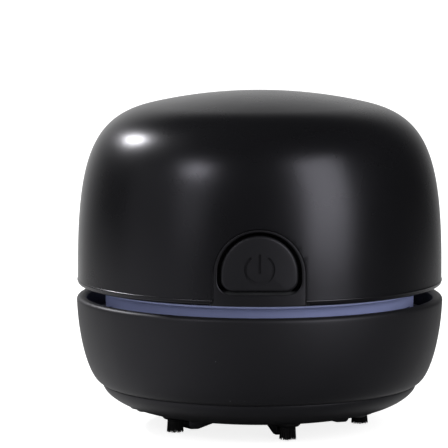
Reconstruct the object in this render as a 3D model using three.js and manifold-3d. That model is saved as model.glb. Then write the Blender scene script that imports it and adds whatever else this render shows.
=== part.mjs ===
// Desktop mini vacuum cleaner: a round battery vacuum for crumbs on a desk.
// Millimetres, Z up. The bristle tips stand on zero and the power button faces minus Y.
import * as THREE from "three";
import { mergeVertices } from "three/addons/utils/BufferGeometryUtils.js";
import Module from "manifold-3d";

const wasm = await Module();
wasm.setup();

// Fits and facets
const clearance = 0.3;
const overrun = 1;
const weld = 0.0001;
const shellSides = 40;
const wallSides = 28;
const partSides = 16;
const screwSides = 6;
const wireSides = 8;
const wallFlat = Math.cos(Math.PI / wallSides);

// Suction base
const bristleReach = 3.8;
const baseHeight = 5.9;
const baseSetback = 0.3;
const baseTurn = 12.1;
const baseSkin = 1.8;
const baseEdge = 0.4;
const baseFullness = 1.7;
const mouthRadius = 10;
const mouthWall = 1.4;
const mouthRound = 1.8;
const spigotWall = 1.4;

// Radial ribs and bristle tufts
const tuftCount = 5;
const firstTuft = 16;
const singleTufts = [["front", 0], ["right", 1], ["left", 4]];
const rearTufts = [2, 3];
const tuftInset = 1.1;
const tuftRootRadius = 1.5;
const tuftTipRadius = 1.75;
const strandsPerTuft = 60;
const strandRadius = 0.12;
const backingRadius = 2.2;
const backingThickness = 0.8;
const pocketDepth = 1.1;
const ribWidth = 4;
const ribReach = 3;
const ribInset = 0.3;
const ribRound = 0.7;
const ribFootLength = 2.4;
const ribSlopeShare = 0.5;

// Lower bowl
const bowlProud = 0.25;
const bowlTaper = 5.65;
const bowlLedge = 3.4;
const bowlWall = 2;
const bowlFloor = 1.4;
const bowlRimWidth = 2.3;
const bowlRimRound = 1;
const bowlSideShare = 0.49;
const bowlSideLean = 0.31;
const bowlTurnOut = 2.76;
const bowlTurnUp = 0.86;

// Dust cup and its bayonet collar
const cupOverlap = 1.1;
const cupWall = 1.4;
const cupDepth = 8.2;
const cupFlange = 1.3;
const ductWall = 1.2;
const ductRise = 1.9;
const collarInset = 1.85;
const collarWall = 1;
const bossRadius = 2.2;
const bossHeight = 3.6;
const bossCap = 0.7;
const lugCount = 3;
const lugSpan = 14;
const lugHeight = 1.6;
const lugLift = 0.5;
const hookSpan = 24;
const hookHeight = 1.3;
const hookLead = 3;
const stopSpan = 3;

// Seal between dust cup and head
const sealThickness = 1.3;
const sealLip = 0.5;

// Exhaust ring
const lugDepth = 1.85;
const ringWall = 1.6;
const ringLedgeWidth = 1.65;
const ringLedgeHeight = 1;
const ringFlangeLap = 0.1;
const ringFlangeHeight = 1;
const ringFlareHeight = 2.2;
const slotCount = 18;
const slotWidth = 5.8;
const slotHeight = 3.2;
const columnRadius = 2.6;
const columnSink = 0.3;
const columnAngles = [60, 180, 300];

// Fan inlet plate and filter
const inletThickness = 1.2;
const inletRadius = 12;
const inletFlare = 1;
const frameThickness = 1.4;
const frameRim = 3;
const spokeCount = 6;
const spokeWidth = 1.6;
const gripRadius = 4;
const gripReach = 2.8;
const screenThickness = 0.8;
const screenInset = 0.5;

// Impeller
const fanRoom = 2.35;
const fanGap = 0.9;
const vaneCount = 9;
const vaneHeight = 4.4;
const vaneThickness = 1.2;
const vaneRootRadius = 9;
const vaneSweep = 62;
const vaneBendShare = 0.8;
const vaneSteps = 4;
const backplateThickness = 1.2;
const hubRadius = 4;
const hubConeRadius = 8;
const hubRise = 1.8;
const hubGap = 0.8;

// Motor chassis
const exhaustGap = 2.5;
const chassisInset = 0.5;
const chassisThickness = 2;
const motorCollarWall = 1.3;
const motorCollarHeight = 3;
const cradleHeight = 5;
const cradleThickness = 1.6;
const cradleRoom = 0.775;
const endWallThickness = 1.4;
const endWallInset = 2.1;
const endWallLip = 0.3;

// Motor
const motorRadius = 12;
const motorLength = 27;
const motorWall = 1;
const motorFace = 1.2;
const motorBossRadius = 3.2;
const motorBossLength = 1.4;
const shaftRadius = 1;
const shaftPassage = 1.3;
const magnetThickness = 2.2;
const magnetLift = 4;
const magnetRoom = 4.2;
const magnetSpan = 110;
const coreGap = 0.6;
const coreSlotWidth = 1.8;
const coreSlotDepth = 4.6;
const poleCount = 3;
const endCapThickness = 1.6;
const endCapPlug = 1.8;
const endBossHeight = 1.4;
const terminalSpread = 7;
const terminalWidth = 2;
const terminalThickness = 0.5;
const terminalReach = 3.2;
const motorScrewSpread = 8;

// Battery cells and their contacts
const cellRadius = 7.1;
const cellLength = 49.2;
const cellSideGap = 2.2;
const cellLift = 1.4;
const nubRadius = 2.7;
const nubLength = 1;
const contactThickness = 0.4;
const contactInset = 2.4;
const contactMargin = 0.4;
const tabLength = 3;
const tabHeight = 3;
const tabLift = 4.5;
const springLength = 3.9;
const springWideRadius = 4.4;
const springNarrowRadius = 2.4;
const springTurns = 2.5;
const wireRadius = 0.3;
const springStepsPerTurn = 8;
const springTubeSides = 5;

// Top cover
const coverFit = 0.7;
const crownRoom = 7.9;
const coverWall = 2;
const coverEdgeRound = 1.7;
const coverEdgeRise = 2.5;
const coverStraight = 3.6;
const shoulderInset = 16.6;
const shoulderDrop = 2.95;
const coverSideShare = 0.69;
const coverShoulderShare = 0.775;
const stopRibWidth = 1.6;
const stopRibDepth = 1.7;
const stopRibHeight = 8;
const stopRibAngles = [30, 90, 150, 210, 270, 330];

// Button, its surround and its switch
const bezelHalfWidth = 9.95;
const bezelLift = 0.2;
const bezelWall = 0.6;
const bezelFlangeWidth = 2.2;
const bezelFlangeThickness = 0.9;
const bezelFlangeInset = 1.1;
const archRise = 6.8;
const grooveWidth = 0.8;
const buttonCorner = 2.7;
const buttonRecess = 0.1;
const buttonRound = 0.6;
const buttonRoundShare = 0.3;
const buttonTravel = 1.5;
const buttonFlange = 1.3;
const buttonFlangeThickness = 1;
const buttonStopGap = 0.4;
const earThickness = 1.5;
const earWidth = 6;
const earRoom = 1.1;
const stemRadius = 2.6;
const stemLength = 3.8;
const plungerRadius = 1.5;
const plungerLength = 8.5;
const switchSize = 8;
const switchSetback = 4.8;
const boardWidth = 14;
const boardRoom = 2.4;
const boardThickness = 1.2;
const boardFront = 3;
const postRadius = 1.6;
const postHeight = 1.8;
const pegRadius = 0.7;
const postSpread = 5.2;

// Screws and leads
const screwHeadRadius = 1.9;
const screwHeadHeight = 1.2;
const screwShankRadius = 0.8;
const screwHoleRadius = 1.1;
const screwHeadRound = 0.5;
const screwBite = 6;
const baseScrewInset = 1.1;
const baseScrewAngles = [52, 172, 292];
const baseScrewPocket = 2.6;
const leadRadius = 0.6;
const leadLaneShare = 0.4;
const besideMotorShare = 0.8;
const overMotorShare = 0.3;
const beforeMotorShare = 1.4;

// Levels, from the bristle tips up
const baseBottom = bristleReach;
const baseTop = baseBottom + baseHeight;
const bowlBottom = baseTop + clearance;
const bowlFloorTop = bowlBottom + bowlFloor;
const cupBottom = bowlFloorTop + clearance;
const cupFloorTop = cupBottom + cupWall;
const cupTop = cupBottom + cupDepth;
const sealBottom = cupTop + clearance;
const ringBottom = sealBottom + sealThickness + clearance;
const lugBottom = ringBottom + lugLift;
const hookBottom = lugBottom + lugHeight + clearance;
const collarTop = hookBottom + hookHeight;
const ledgeTop = ringBottom + ringLedgeHeight;
const inletBottom = ledgeTop + clearance;
const inletTop = inletBottom + inletThickness;
const frameTop = ledgeTop - clearance;
const frameBottom = frameTop - frameThickness;
const screenTop = frameBottom - clearance;
const fanBottom = inletTop + fanGap;
const backplateBottom = fanBottom + vaneHeight;
const backplateTop = backplateBottom + backplateThickness;
const hubTop = backplateTop + hubRise;
const chassisBottom = hubTop + hubGap;
const chassisTop = chassisBottom + chassisThickness;
const ringTop = chassisBottom - clearance;
const coverBottom = chassisBottom - chassisInset;
const bowlTop = coverBottom - exhaustGap;
const motorBottom = chassisTop + clearance;
const motorTop = motorBottom + motorLength;
const endCapBottom = motorTop + clearance;
const endCapTop = endCapBottom + endCapThickness;
const coverTop = endCapTop + terminalReach + crownRoom + coverWall;
const magnetBottom = motorBottom + magnetLift;
const magnetTop = motorTop - endCapPlug - magnetRoom;
const cellAxis = chassisTop + cellLift + cellRadius;
const contactTop = cellAxis + springWideRadius + contactMargin;
const boardBottom = chassisTop + postHeight;
const boardTop = boardBottom + boardThickness;
const switchAxis = boardTop + switchSize / 2 + clearance;
const archCentre = coverBottom + bezelLift + archRise;

// The battery bay, which sets the radii of the shells
const cellPlace = motorRadius + cellSideGap + cellRadius;
const bayLength = clearance + nubLength + cellLength + clearance + springLength + clearance;
const bayHalf = bayLength / 2;
const endWallPlace = bayHalf + contactThickness + clearance;
const endWallHalf = cellRadius - endWallInset;
const contactHalf = cellRadius - contactInset;
const chassisRadius = Math.hypot(cellPlace + endWallHalf, endWallPlace + endWallThickness);
const coverInnerRadius = chassisRadius + coverFit;
const coverRadius = coverInnerRadius + coverWall;
const shoulderRadius = coverRadius - shoulderInset;
const bowlRadius = coverRadius + bowlProud;
const bowlFootRadius = bowlRadius - bowlTaper;
const bowlMouthRadius = bowlFootRadius - bowlLedge;
const baseRadius = bowlFootRadius - baseSetback;
const baseFlatRadius = baseRadius - baseTurn;

// Radii that fit one piece to another
const mouthTubeRadius = mouthRadius + mouthWall;
const spigotRadius = bowlMouthRadius - clearance;
const spigotInnerRadius = spigotRadius - spigotWall;
const baseScrewCircle = spigotInnerRadius - bossRadius - baseScrewInset;
const tuftCircle = baseFlatRadius - tuftInset;
const cupRadius = bowlMouthRadius + cupOverlap;
const cupInnerRadius = cupRadius - cupWall;
const collarRadius = bowlRadius - bowlWall - collarInset;
const collarInnerRadius = collarRadius - collarWall;
const lugRadius = collarInnerRadius * wallFlat - clearance;
const ringRadius = collarInnerRadius - lugDepth;
const ringFlangeRadius = collarRadius + ringFlangeLap;
const hookInnerRadius = ringRadius + clearance;
const ringInnerRadius = ringRadius - ringWall;
const ledgeRadius = ringInnerRadius - ringLedgeWidth;
const columnCircle = ringInnerRadius - columnRadius + columnSink;
const fanRadius = columnCircle - columnRadius - fanRoom;
const frameRadius = ledgeRadius - clearance;
const motorInnerRadius = motorRadius - motorWall;
const magnetRadius = motorInnerRadius - clearance;
const coreRadius = magnetRadius - magnetThickness - coreGap;
const motorCollarRadius = motorRadius + clearance + motorCollarWall;
const ductRadius = mouthRadius + ductWall;

// Places along Y: the saddles of the cells, and the button with its switch
const cradleSpread = columnCircle * Math.cos(THREE.MathUtils.degToRad(columnAngles[0]))
  - screwHeadRadius - cradleThickness / 2 - cradleRoom;
const bezelBackRadius = coverInnerRadius - bezelFlangeInset - bezelFlangeThickness;
const openingHalfWidth = bezelHalfWidth - bezelWall;
const buttonHalfWidth = openingHalfWidth - grooveWidth;
const buttonBottom = chassisTop + clearance + grooveWidth - clearance / 2;
const buttonFlangeFront = buttonStopGap
  - Math.sqrt(bezelBackRadius ** 2 - bezelHalfWidth ** 2);
const buttonFlangeBack = buttonFlangeFront + buttonFlangeThickness;
const earFront = buttonFlangeFront + clearance;
const earBack = -endWallPlace - endWallThickness - earRoom;
const stemBack = buttonFlangeBack + stemLength;
const plungerFront = stemBack + clearance;
const switchFront = stemBack + switchSetback;
const boardFrontEdge = switchFront - boardFront;
const boardBackEdge = -motorCollarRadius - boardRoom;
const ribEnd = tuftCircle - backingRadius - clearance - ribInset;

// Materials
const finish = (color, roughness, metalness = 0) =>
  new THREE.MeshStandardMaterial({ color, roughness, metalness });
const satinBlack = finish(0x1c1c1e, 0.3);
const matteBlack = finish(0x1b1b1c, 0.5);
const slateBlue = finish(0x5c5e82, 0.4);
const innerGrey = finish(0x3a3b3e, 0.6);
const rubberBlack = finish(0x131314, 0.8);
const bristleBlack = finish(0x101011, 0.7);
const steel = finish(0xb9bbbe, 0.3, 1);
const brass = finish(0xc2a15c, 0.35, 1);
const magnetGrey = finish(0x2b2a2a, 0.7);
const fanWhite = finish(0xd9dadb, 0.4);
const feltGrey = finish(0x9fa2a5, 0.9);
const cellSleeve = finish(0x47524c, 0.45);
const boardGreen = finish(0x1f5a3a, 0.5);
const leadRed = finish(0x9d2620, 0.5);
const leadBlack = finish(0x161616, 0.5);

// A closed geometry as a solid that can be joined and cut.
function solid(geometry) {
  geometry.deleteAttribute("normal");
  geometry.deleteAttribute("uv");
  const merged = mergeVertices(geometry, weld);
  return new wasm.Manifold(new wasm.Mesh({
    numProp: 3,
    vertProperties: merged.attributes.position.array,
    triVerts: new Uint32Array(merged.index.array),
  }));
}

// Twice the area inside an outline, positive where it runs anticlockwise.
function turnOf(points) {
  return points.reduce((sum, [r, z], i) => {
    const [nextR, nextZ] = points[(i + 1) % points.length];
    return sum + r * nextZ - nextR * z;
  }, 0);
}

// An outline of radius and height turned about the Z axis.
function revolve(outline, sides) {
  const points = turnOf(outline) > 0 ? [...outline] : [...outline].reverse();
  const onAxis = points.filter(([r]) => r === 0).length === 2;
  if (onAxis) {
    while (points[0][0] !== 0 || points[points.length - 1][0] !== 0) points.push(points.shift());
  } else {
    points.push(points[0]);
  }
  const profile = points.map(([r, z]) => new THREE.Vector2(r, z));
  return solid(new THREE.LatheGeometry(profile, sides).rotateX(Math.PI / 2));
}

function rod(radius, bottom, top, sides = partSides) {
  return revolve([[0, bottom], [radius, bottom], [radius, top], [0, top]], sides);
}

function tube(innerRadius, outerRadius, bottom, top, sides = wallSides) {
  return revolve([
    [innerRadius, bottom],
    [outerRadius, bottom],
    [outerRadius, top],
    [innerRadius, top],
  ], sides);
}

// A rod that lies along Y.
function rodAlongY(radius, front, back, x, z, sides = partSides) {
  return rod(radius, -back, -front, sides).rotate([90, 0, 0]).translate([x, 0, z]);
}

function block([x0, x1], [y0, y1], [z0, z1]) {
  const box = new THREE.BoxGeometry(x1 - x0, y1 - y0, z1 - z0);
  return solid(box.translate((x0 + x1) / 2, (y0 + y1) / 2, (z0 + z1) / 2));
}

// A flat outline raised from bottom to top.
function raise(shape, bottom, top, steps = 6) {
  const depth = top - bottom;
  const made = new THREE.ExtrudeGeometry(shape, { depth, bevelEnabled: false, curveSegments: steps });
  return solid(made.translate(0, 0, bottom));
}

// An outline of X and Z carried along Y.
function carry(shape, front, back, steps = 12) {
  return raise(shape, -back, -front, steps).rotate([90, 0, 0]);
}

// The angle runs from the front towards plus X, in degrees.
function around(radius, degrees) {
  const angle = THREE.MathUtils.degToRad(degrees);
  return [radius * Math.sin(angle), -radius * Math.cos(angle)];
}

// A piece of a ring, from one angle to another.
function sector(innerRadius, outerRadius, bottom, top, from, to, steps = 4) {
  const angles = Array.from({ length: steps + 1 }, (_, i) => from + ((to - from) * i) / steps);
  const outside = angles.map((angle) => new THREE.Vector2(...around(outerRadius, angle)));
  const inside = angles.map((angle) => new THREE.Vector2(...around(innerRadius, angle)));
  return raise(new THREE.Shape([...outside, ...inside.reverse()]), bottom, top);
}

// Rings of equal count skinned in order, with each end closed by a fan from its first point.
function loft(rings) {
  const count = rings[0].length;
  const faces = [];
  for (let i = 0; i < rings.length - 1; i += 1) {
    for (let j = 0; j < count; j += 1) {
      const a = i * count + j;
      const b = i * count + ((j + 1) % count);
      faces.push(a, b, a + count, b, b + count, a + count);
    }
  }
  const last = (rings.length - 1) * count;
  for (let j = 1; j < count - 1; j += 1) {
    faces.push(0, j + 1, j, last, last + j, last + j + 1);
  }
  const made = new THREE.BufferGeometry().setFromPoints(rings.flat());
  made.setIndex(faces);
  return solid(made);
}

// The points of an outline moved square to it, towards its left.
function offset(points, distance) {
  return points.map(([r, z], i) => {
    const [beforeR, beforeZ] = points[Math.max(i - 1, 0)];
    const [afterR, afterZ] = points[Math.min(i + 1, points.length - 1)];
    const length = Math.hypot(afterR - beforeR, afterZ - beforeZ);
    return [
      r - (distance * (afterZ - beforeZ)) / length,
      z + (distance * (afterR - beforeR)) / length,
    ];
  });
}

function cubic(points, steps) {
  const curve = new THREE.CubicBezierCurve(...points.map(([r, z]) => new THREE.Vector2(r, z)));
  return curve.getPoints(steps).map((point) => [point.x, point.y]);
}

// An arc of an outline about a centre; the angles start at plus R and turn towards plus Z.
function arc([r, z], radius, from, to, steps) {
  return Array.from({ length: steps + 1 }, (_, i) => {
    const angle = THREE.MathUtils.degToRad(from + ((to - from) * i) / steps);
    return [r + radius * Math.cos(angle), z + radius * Math.sin(angle)];
  });
}

const vacuum = new THREE.Group();

function piece(name, made, material, place = [0, 0, 0], turn = [0, 0, 0]) {
  const { vertProperties, triVerts, numProp } = made.getMesh();
  const geometry = new THREE.BufferGeometry();
  geometry.setAttribute("position", new THREE.BufferAttribute(new Float32Array(vertProperties), numProp));
  geometry.setIndex([...triVerts]);
  geometry.computeVertexNormals();
  const mesh = new THREE.Mesh(geometry, material);
  mesh.name = name;
  mesh.position.set(...place);
  mesh.rotation.set(...turn.map(THREE.MathUtils.degToRad));
  vacuum.add(mesh);
}

// A pan-head screw: the head stands on zero and the shank runs down.
function screw(length) {
  return revolve([
    [0, -length],
    [screwShankRadius, -length],
    [screwShankRadius, 0],
    [screwHeadRadius, 0],
    [screwHeadRadius - screwHeadRound, screwHeadHeight],
    [0, screwHeadHeight],
  ], screwSides);
}

// The quarter of a full curve from a flat underside out and up to an edge.
function dishCurve(flatRadius, bottom, edgeRadius, top, steps) {
  return Array.from({ length: steps + 1 }, (_, i) => {
    const share = Math.sin((i / steps) * (Math.PI / 2));
    const rise = 1 - (1 - share ** baseFullness) ** (1 / baseFullness);
    return [flatRadius + (edgeRadius - flatRadius) * share, bottom + (top - bottom) * rise];
  });
}

function suctionBase() {
  const tubeTop = bowlFloorTop;
  const skinTop = baseBottom + baseSkin;
  const innerFlat = baseFlatRadius - baseEdge;
  let made = revolve([
    ...arc([mouthRadius + mouthRound, baseBottom + mouthRound], mouthRound, 180, 270, 2),
    ...dishCurve(baseFlatRadius, baseBottom, baseRadius, baseTop - baseEdge, 6),
    [baseRadius - baseEdge, baseTop],
    [spigotRadius, baseTop],
    [spigotRadius, tubeTop],
    [spigotInnerRadius, tubeTop],
    ...dishCurve(innerFlat, skinTop, spigotInnerRadius, baseTop, 2).reverse(),
    [mouthTubeRadius, skinTop],
    [mouthTubeRadius, tubeTop],
    [mouthRadius, tubeTop],
  ], shellSides);
  for (let i = 0; i < tuftCount; i += 1) {
    made = made.add(radialRib().rotate([0, 0, tuftAngle(i)]));
  }
  for (const angle of baseScrewAngles) {
    const [x, y] = around(baseScrewCircle, angle);
    const seat = baseBottom + baseScrewPocket;
    made = made
      .add(rod(bossRadius + clearance * 2, skinTop + clearance, tubeTop).translate([x, y, 0]))
      .subtract(rod(screwHoleRadius, baseBottom, tubeTop + overrun, screwSides).translate([x, y, 0]))
      .subtract(rod(bossRadius, baseBottom - overrun, seat, 10).translate([x, y, 0]));
  }
  const pocketTop = baseBottom + pocketDepth;
  for (const [, index] of singleTufts) {
    const [x, y] = around(tuftCircle, tuftAngle(index));
    made = made.subtract(
      rod(backingRadius + clearance, baseBottom - overrun, pocketTop, 12).translate([x, y, 0]),
    );
  }
  return made.subtract(rearBacking(backingRadius + clearance, baseBottom - overrun, pocketTop));
}

function tuftAngle(index) {
  return firstTuft + (index * 360) / tuftCount;
}

// A rib that stands under the base, drawn from its side and facing the front.
function radialRib() {
  const start = mouthRadius + mouthRound + clearance;
  const foot = baseBottom - ribReach;
  const root = baseBottom + baseSkin / 2;
  const shape = new THREE.Shape([
    new THREE.Vector2(start, root),
    new THREE.Vector2(start, baseBottom - ribReach * ribSlopeShare),
    new THREE.Vector2(ribEnd - ribFootLength, foot),
    ...arc([ribEnd - ribRound, foot + ribRound], ribRound, 270, 360, 2)
      .map(([r, z]) => new THREE.Vector2(r, z)),
    new THREE.Vector2(ribEnd, root),
  ]);
  return carry(shape, -ribWidth / 2, ribWidth / 2).rotate([0, 0, -90]);
}

// The backing that the two rear tufts share.
function rearBacking(halfWidth, bottom, top) {
  const [from, to] = rearTufts.map(tuftAngle);
  let made = sector(tuftCircle - halfWidth, tuftCircle + halfWidth, bottom, top, from, to, 6);
  for (const angle of [from, to]) {
    made = made.add(rod(halfWidth, bottom, top, 12).translate([...around(tuftCircle, angle), 0]));
  }
  return made;
}

// Strands spread evenly over a disc, each leaning out a little towards its tip.
function strands() {
  const root = bristleReach + pocketDepth - clearance - backingThickness / 2;
  const goldenAngle = Math.PI * (3 - Math.sqrt(5));
  return Array.from({ length: strandsPerTuft }, (_, i) => {
    const share = Math.sqrt((i + 0.5) / strandsPerTuft);
    const angle = i * goldenAngle;
    const ring = (radius, height) => [0, 1, 2].map((corner) => {
      const turn = angle + (corner * Math.PI * 2) / 3;
      return new THREE.Vector3(
        radius * share * Math.cos(angle) + strandRadius * Math.cos(turn),
        radius * share * Math.sin(angle) + strandRadius * Math.sin(turn),
        height,
      );
    });
    return loft([ring(tuftTipRadius, 0), ring(tuftRootRadius, root)]);
  });
}

function tuft(backing, indexes) {
  let made = backing;
  for (const index of indexes) {
    const place = [...around(tuftCircle, tuftAngle(index)), 0];
    for (const strand of strands()) made = made.add(strand.translate(place));
  }
  return made;
}

function lowerBowl() {
  const rimBottom = bowlTop - bowlRimRound;
  const side = cubic([
    [bowlFootRadius, bowlBottom],
    [bowlFootRadius + bowlTurnOut, bowlBottom + bowlTurnUp],
    [bowlRadius - bowlSideLean, rimBottom - (rimBottom - bowlBottom) * bowlSideShare],
    [bowlRadius, rimBottom],
  ], 7);
  const rimInner = bowlRadius - bowlRimWidth;
  const inside = offset(side, bowlWall)
    .filter((_, i) => i % 2 === 0)
    .filter(([, z]) => z > bowlFloorTop + clearance && z < rimBottom - bowlRimWidth);
  return revolve([
    [bowlMouthRadius, bowlBottom],
    ...side,
    ...arc([bowlRadius - bowlRimRound, rimBottom], bowlRimRound, 30, 90, 2),
    ...arc([rimInner + bowlRimRound, rimBottom], bowlRimRound, 90, 180, 2),
    ...inside.reverse(),
    [bowlFootRadius - bowlWall / 2, bowlFloorTop],
    [bowlMouthRadius, bowlFloorTop],
  ], shellSides);
}

function dustCup() {
  const flangeBottom = cupTop - cupFlange;
  let made = revolve([
    [mouthRadius, cupBottom],
    [cupRadius, cupBottom],
    [cupRadius, flangeBottom],
    [collarRadius, flangeBottom],
    [collarRadius, collarTop],
    [collarInnerRadius, collarTop],
    [collarInnerRadius, cupTop],
    [cupInnerRadius, cupTop],
    [cupInnerRadius, cupFloorTop],
    [ductRadius, cupFloorTop],
    [ductRadius, cupFloorTop + ductRise],
    [mouthRadius, cupFloorTop + ductRise],
  ], wallSides);
  for (let i = 0; i < lugCount; i += 1) {
    const start = (i * 360) / lugCount + lugSpan / 2 + hookLead;
    const root = collarInnerRadius + collarWall / 2;
    const stop = start + hookSpan;
    made = made
      .add(sector(hookInnerRadius, root, hookBottom, collarTop, start, stop + stopSpan))
      .add(sector(hookInnerRadius, root, cupTop - cupFlange / 2, collarTop, stop, stop + stopSpan, 1));
  }
  for (const angle of baseScrewAngles) {
    const [x, y] = around(baseScrewCircle, angle);
    const bossTop = cupFloorTop + bossHeight;
    made = made
      .add(rod(bossRadius, cupBottom + cupWall / 2, bossTop, 8).translate([x, y, 0]))
      .subtract(
        rod(screwHoleRadius, cupBottom - overrun, bossTop - bossCap, screwSides).translate([x, y, 0]),
      );
  }
  return made;
}

function sealRing() {
  const inner = cupInnerRadius + clearance;
  const outer = ringRadius;
  const top = sealBottom + sealThickness;
  return revolve([
    [inner, sealBottom],
    [outer, sealBottom],
    [outer, top - sealLip],
    [inner + sealLip * 2, top],
    [inner, top - sealLip],
  ], wallSides);
}

function exhaustRing() {
  const flangeBottom = ringTop - ringFlangeHeight;
  const flare = new THREE.QuadraticBezierCurve(
    new THREE.Vector2(ringRadius, flangeBottom - ringFlareHeight),
    new THREE.Vector2(ringRadius, flangeBottom),
    new THREE.Vector2(ringFlangeRadius, flangeBottom),
  ).getPoints(3).map((point) => [point.x, point.y]);
  let made = revolve([
    [ledgeRadius, ringBottom],
    [ringRadius, ringBottom],
    ...flare,
    [ringFlangeRadius, ringTop],
    [ringInnerRadius, ringTop],
    [ringInnerRadius, ledgeTop],
    [ledgeRadius, ledgeTop],
  ], shellSides);
  const slotBottom = collarTop + clearance;
  for (let i = 0; i < slotCount; i += 1) {
    const angle = ((i + 0.5) * 360) / slotCount;
    const slot = block(
      [-slotWidth / 2, slotWidth / 2],
      [-ringRadius - overrun, -ringInnerRadius + overrun],
      [slotBottom, slotBottom + slotHeight],
    );
    made = made.subtract(slot.rotate([0, 0, angle]));
  }
  for (let i = 0; i < lugCount; i += 1) {
    const centre = (i * 360) / lugCount;
    const root = ringRadius - ringWall / 2;
    const reach = [centre - lugSpan / 2, centre + lugSpan / 2];
    made = made.add(sector(root, lugRadius, lugBottom, lugBottom + lugHeight, ...reach, 3));
  }
  for (const angle of columnAngles) {
    const place = [...around(columnCircle, angle), 0];
    made = made
      .add(rod(columnRadius, ledgeTop, ringTop, 12).translate(place))
      .subtract(
        rod(screwHoleRadius, ringTop - screwBite, ringTop + overrun, screwSides).translate(place),
      );
  }
  return made;
}

function fanInletPlate() {
  let made = revolve([
    [inletRadius + inletFlare, inletBottom],
    [ringInnerRadius - clearance, inletBottom],
    [ringInnerRadius - clearance, inletTop],
    [inletRadius, inletTop],
  ], wallSides);
  for (const angle of columnAngles) {
    const notch = rod(columnRadius + clearance, inletBottom - overrun, inletTop + overrun, 12);
    made = made.subtract(notch.translate([...around(columnCircle, angle), 0]));
  }
  return made;
}

function filterFrame() {
  const rimInner = frameRadius - frameRim;
  let made = tube(rimInner, frameRadius, frameBottom, frameTop)
    .add(rod(gripRadius, frameBottom - gripReach, frameTop));
  for (let i = 0; i < spokeCount; i += 1) {
    const spoke = block(
      [-spokeWidth / 2, spokeWidth / 2],
      [-rimInner - frameRim / 2, -gripRadius / 2],
      [frameBottom, frameTop],
    );
    made = made.add(spoke.rotate([0, 0, (i * 360) / spokeCount]));
  }
  return made;
}

function filterScreen() {
  const radius = frameRadius - screenInset;
  return tube(gripRadius + clearance, radius, screenTop - screenThickness, screenTop);
}

// One backward-curved vane, drawn from its root to its tip.
function vane() {
  const line = Array.from({ length: vaneSteps + 1 }, (_, i) => {
    const share = i / vaneSteps;
    const radius = vaneRootRadius + (fanRadius - vaneRootRadius) * share;
    return around(radius, vaneSweep * share ** vaneBendShare);
  });
  const edges = [offset(line, vaneThickness / 2), offset(line, -vaneThickness / 2).reverse()];
  const shape = new THREE.Shape(edges.flat().map(([x, y]) => new THREE.Vector2(x, y)));
  return raise(shape, fanBottom, backplateBottom + backplateThickness / 2);
}

function impeller() {
  const bore = shaftPassage;
  let made = revolve([
    [bore, fanBottom],
    [hubRadius, fanBottom],
    [hubConeRadius, backplateBottom],
    [fanRadius, backplateBottom],
    [fanRadius, backplateTop],
    [hubRadius, backplateTop],
    [hubRadius, hubTop],
    [bore, hubTop],
  ], wallSides);
  for (let i = 0; i < vaneCount; i += 1) {
    made = made.add(vane().rotate([0, 0, (i * 360) / vaneCount]));
  }
  return made.intersect(rod(fanRadius, fanBottom - overrun, chassisBottom, wallSides));
}

// A saddle under a battery cell, to the right of the motor.
function cradle(place) {
  const back = [place - cradleThickness / 2, place + cradleThickness / 2];
  const half = cellRadius - cradleThickness / 2;
  return block(
    [cellPlace - half, cellPlace + half],
    back,
    [chassisTop - chassisThickness / 2, chassisTop + cradleHeight],
  ).subtract(rodAlongY(
    cellRadius + clearance,
    back[0] - overrun,
    back[1] + overrun,
    cellPlace,
    cellAxis,
  ));
}

function motorChassis() {
  const root = chassisTop - chassisThickness / 2;
  const collar = [motorCollarRadius - motorCollarWall, motorCollarRadius];
  let made = tube(motorBossRadius + clearance, chassisRadius, chassisBottom, chassisTop)
    .add(tube(...collar, root, chassisTop + motorCollarHeight, partSides));
  const wallX = [cellPlace - endWallHalf, cellPlace + endWallHalf];
  const wallZ = [root, contactTop + endWallLip];
  const right = [
    cradle(-cradleSpread),
    cradle(cradleSpread),
    block(wallX, [endWallPlace, endWallPlace + endWallThickness], wallZ),
    block(wallX, [-endWallPlace - endWallThickness, -endWallPlace], wallZ),
  ];
  for (const item of right) made = made.add(item).add(item.mirror([1, 0, 0]));
  for (const x of [-earPlace()[0], earPlace()[0]]) {
    made = made.subtract(
      rod(screwHoleRadius, chassisBottom + clearance, chassisTop + overrun, screwSides)
        .translate([x, earPlace()[1], 0]),
    );
  }
  for (const x of [-motorScrewSpread, motorScrewSpread]) {
    made = made.subtract(
      rod(screwHoleRadius, chassisBottom - overrun, chassisTop + overrun, screwSides)
        .translate([x, 0, 0]),
    );
  }
  for (const angle of columnAngles) {
    made = made.subtract(
      rod(screwHoleRadius, chassisBottom - overrun, chassisTop + overrun, screwSides)
        .translate([...around(columnCircle, angle), 0]),
    );
  }
  for (const x of [-postSpread, postSpread]) {
    const place = [x, boardMiddle(), 0];
    made = made
      .add(rod(postRadius, root, boardBottom - clearance, 12).translate(place))
      .add(rod(pegRadius, root, boardTop + clearance, 8).translate(place));
  }
  return made;
}

function motorCan() {
  const innerBottom = motorBottom + motorFace;
  let made = revolve([
    [shaftPassage, motorBottom - motorBossLength],
    [motorBossRadius, motorBottom - motorBossLength],
    [motorBossRadius, motorBottom],
    [motorRadius, motorBottom],
    [motorRadius, motorTop],
    [motorInnerRadius, motorTop],
    [motorInnerRadius, innerBottom],
    [shaftPassage, innerBottom],
  ], partSides);
  for (const x of [-motorScrewSpread, motorScrewSpread]) {
    made = made.subtract(
      rod(screwHoleRadius, motorBottom - overrun, innerBottom + overrun, screwSides)
        .translate([x, 0, 0]),
    );
  }
  return made;
}

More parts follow.
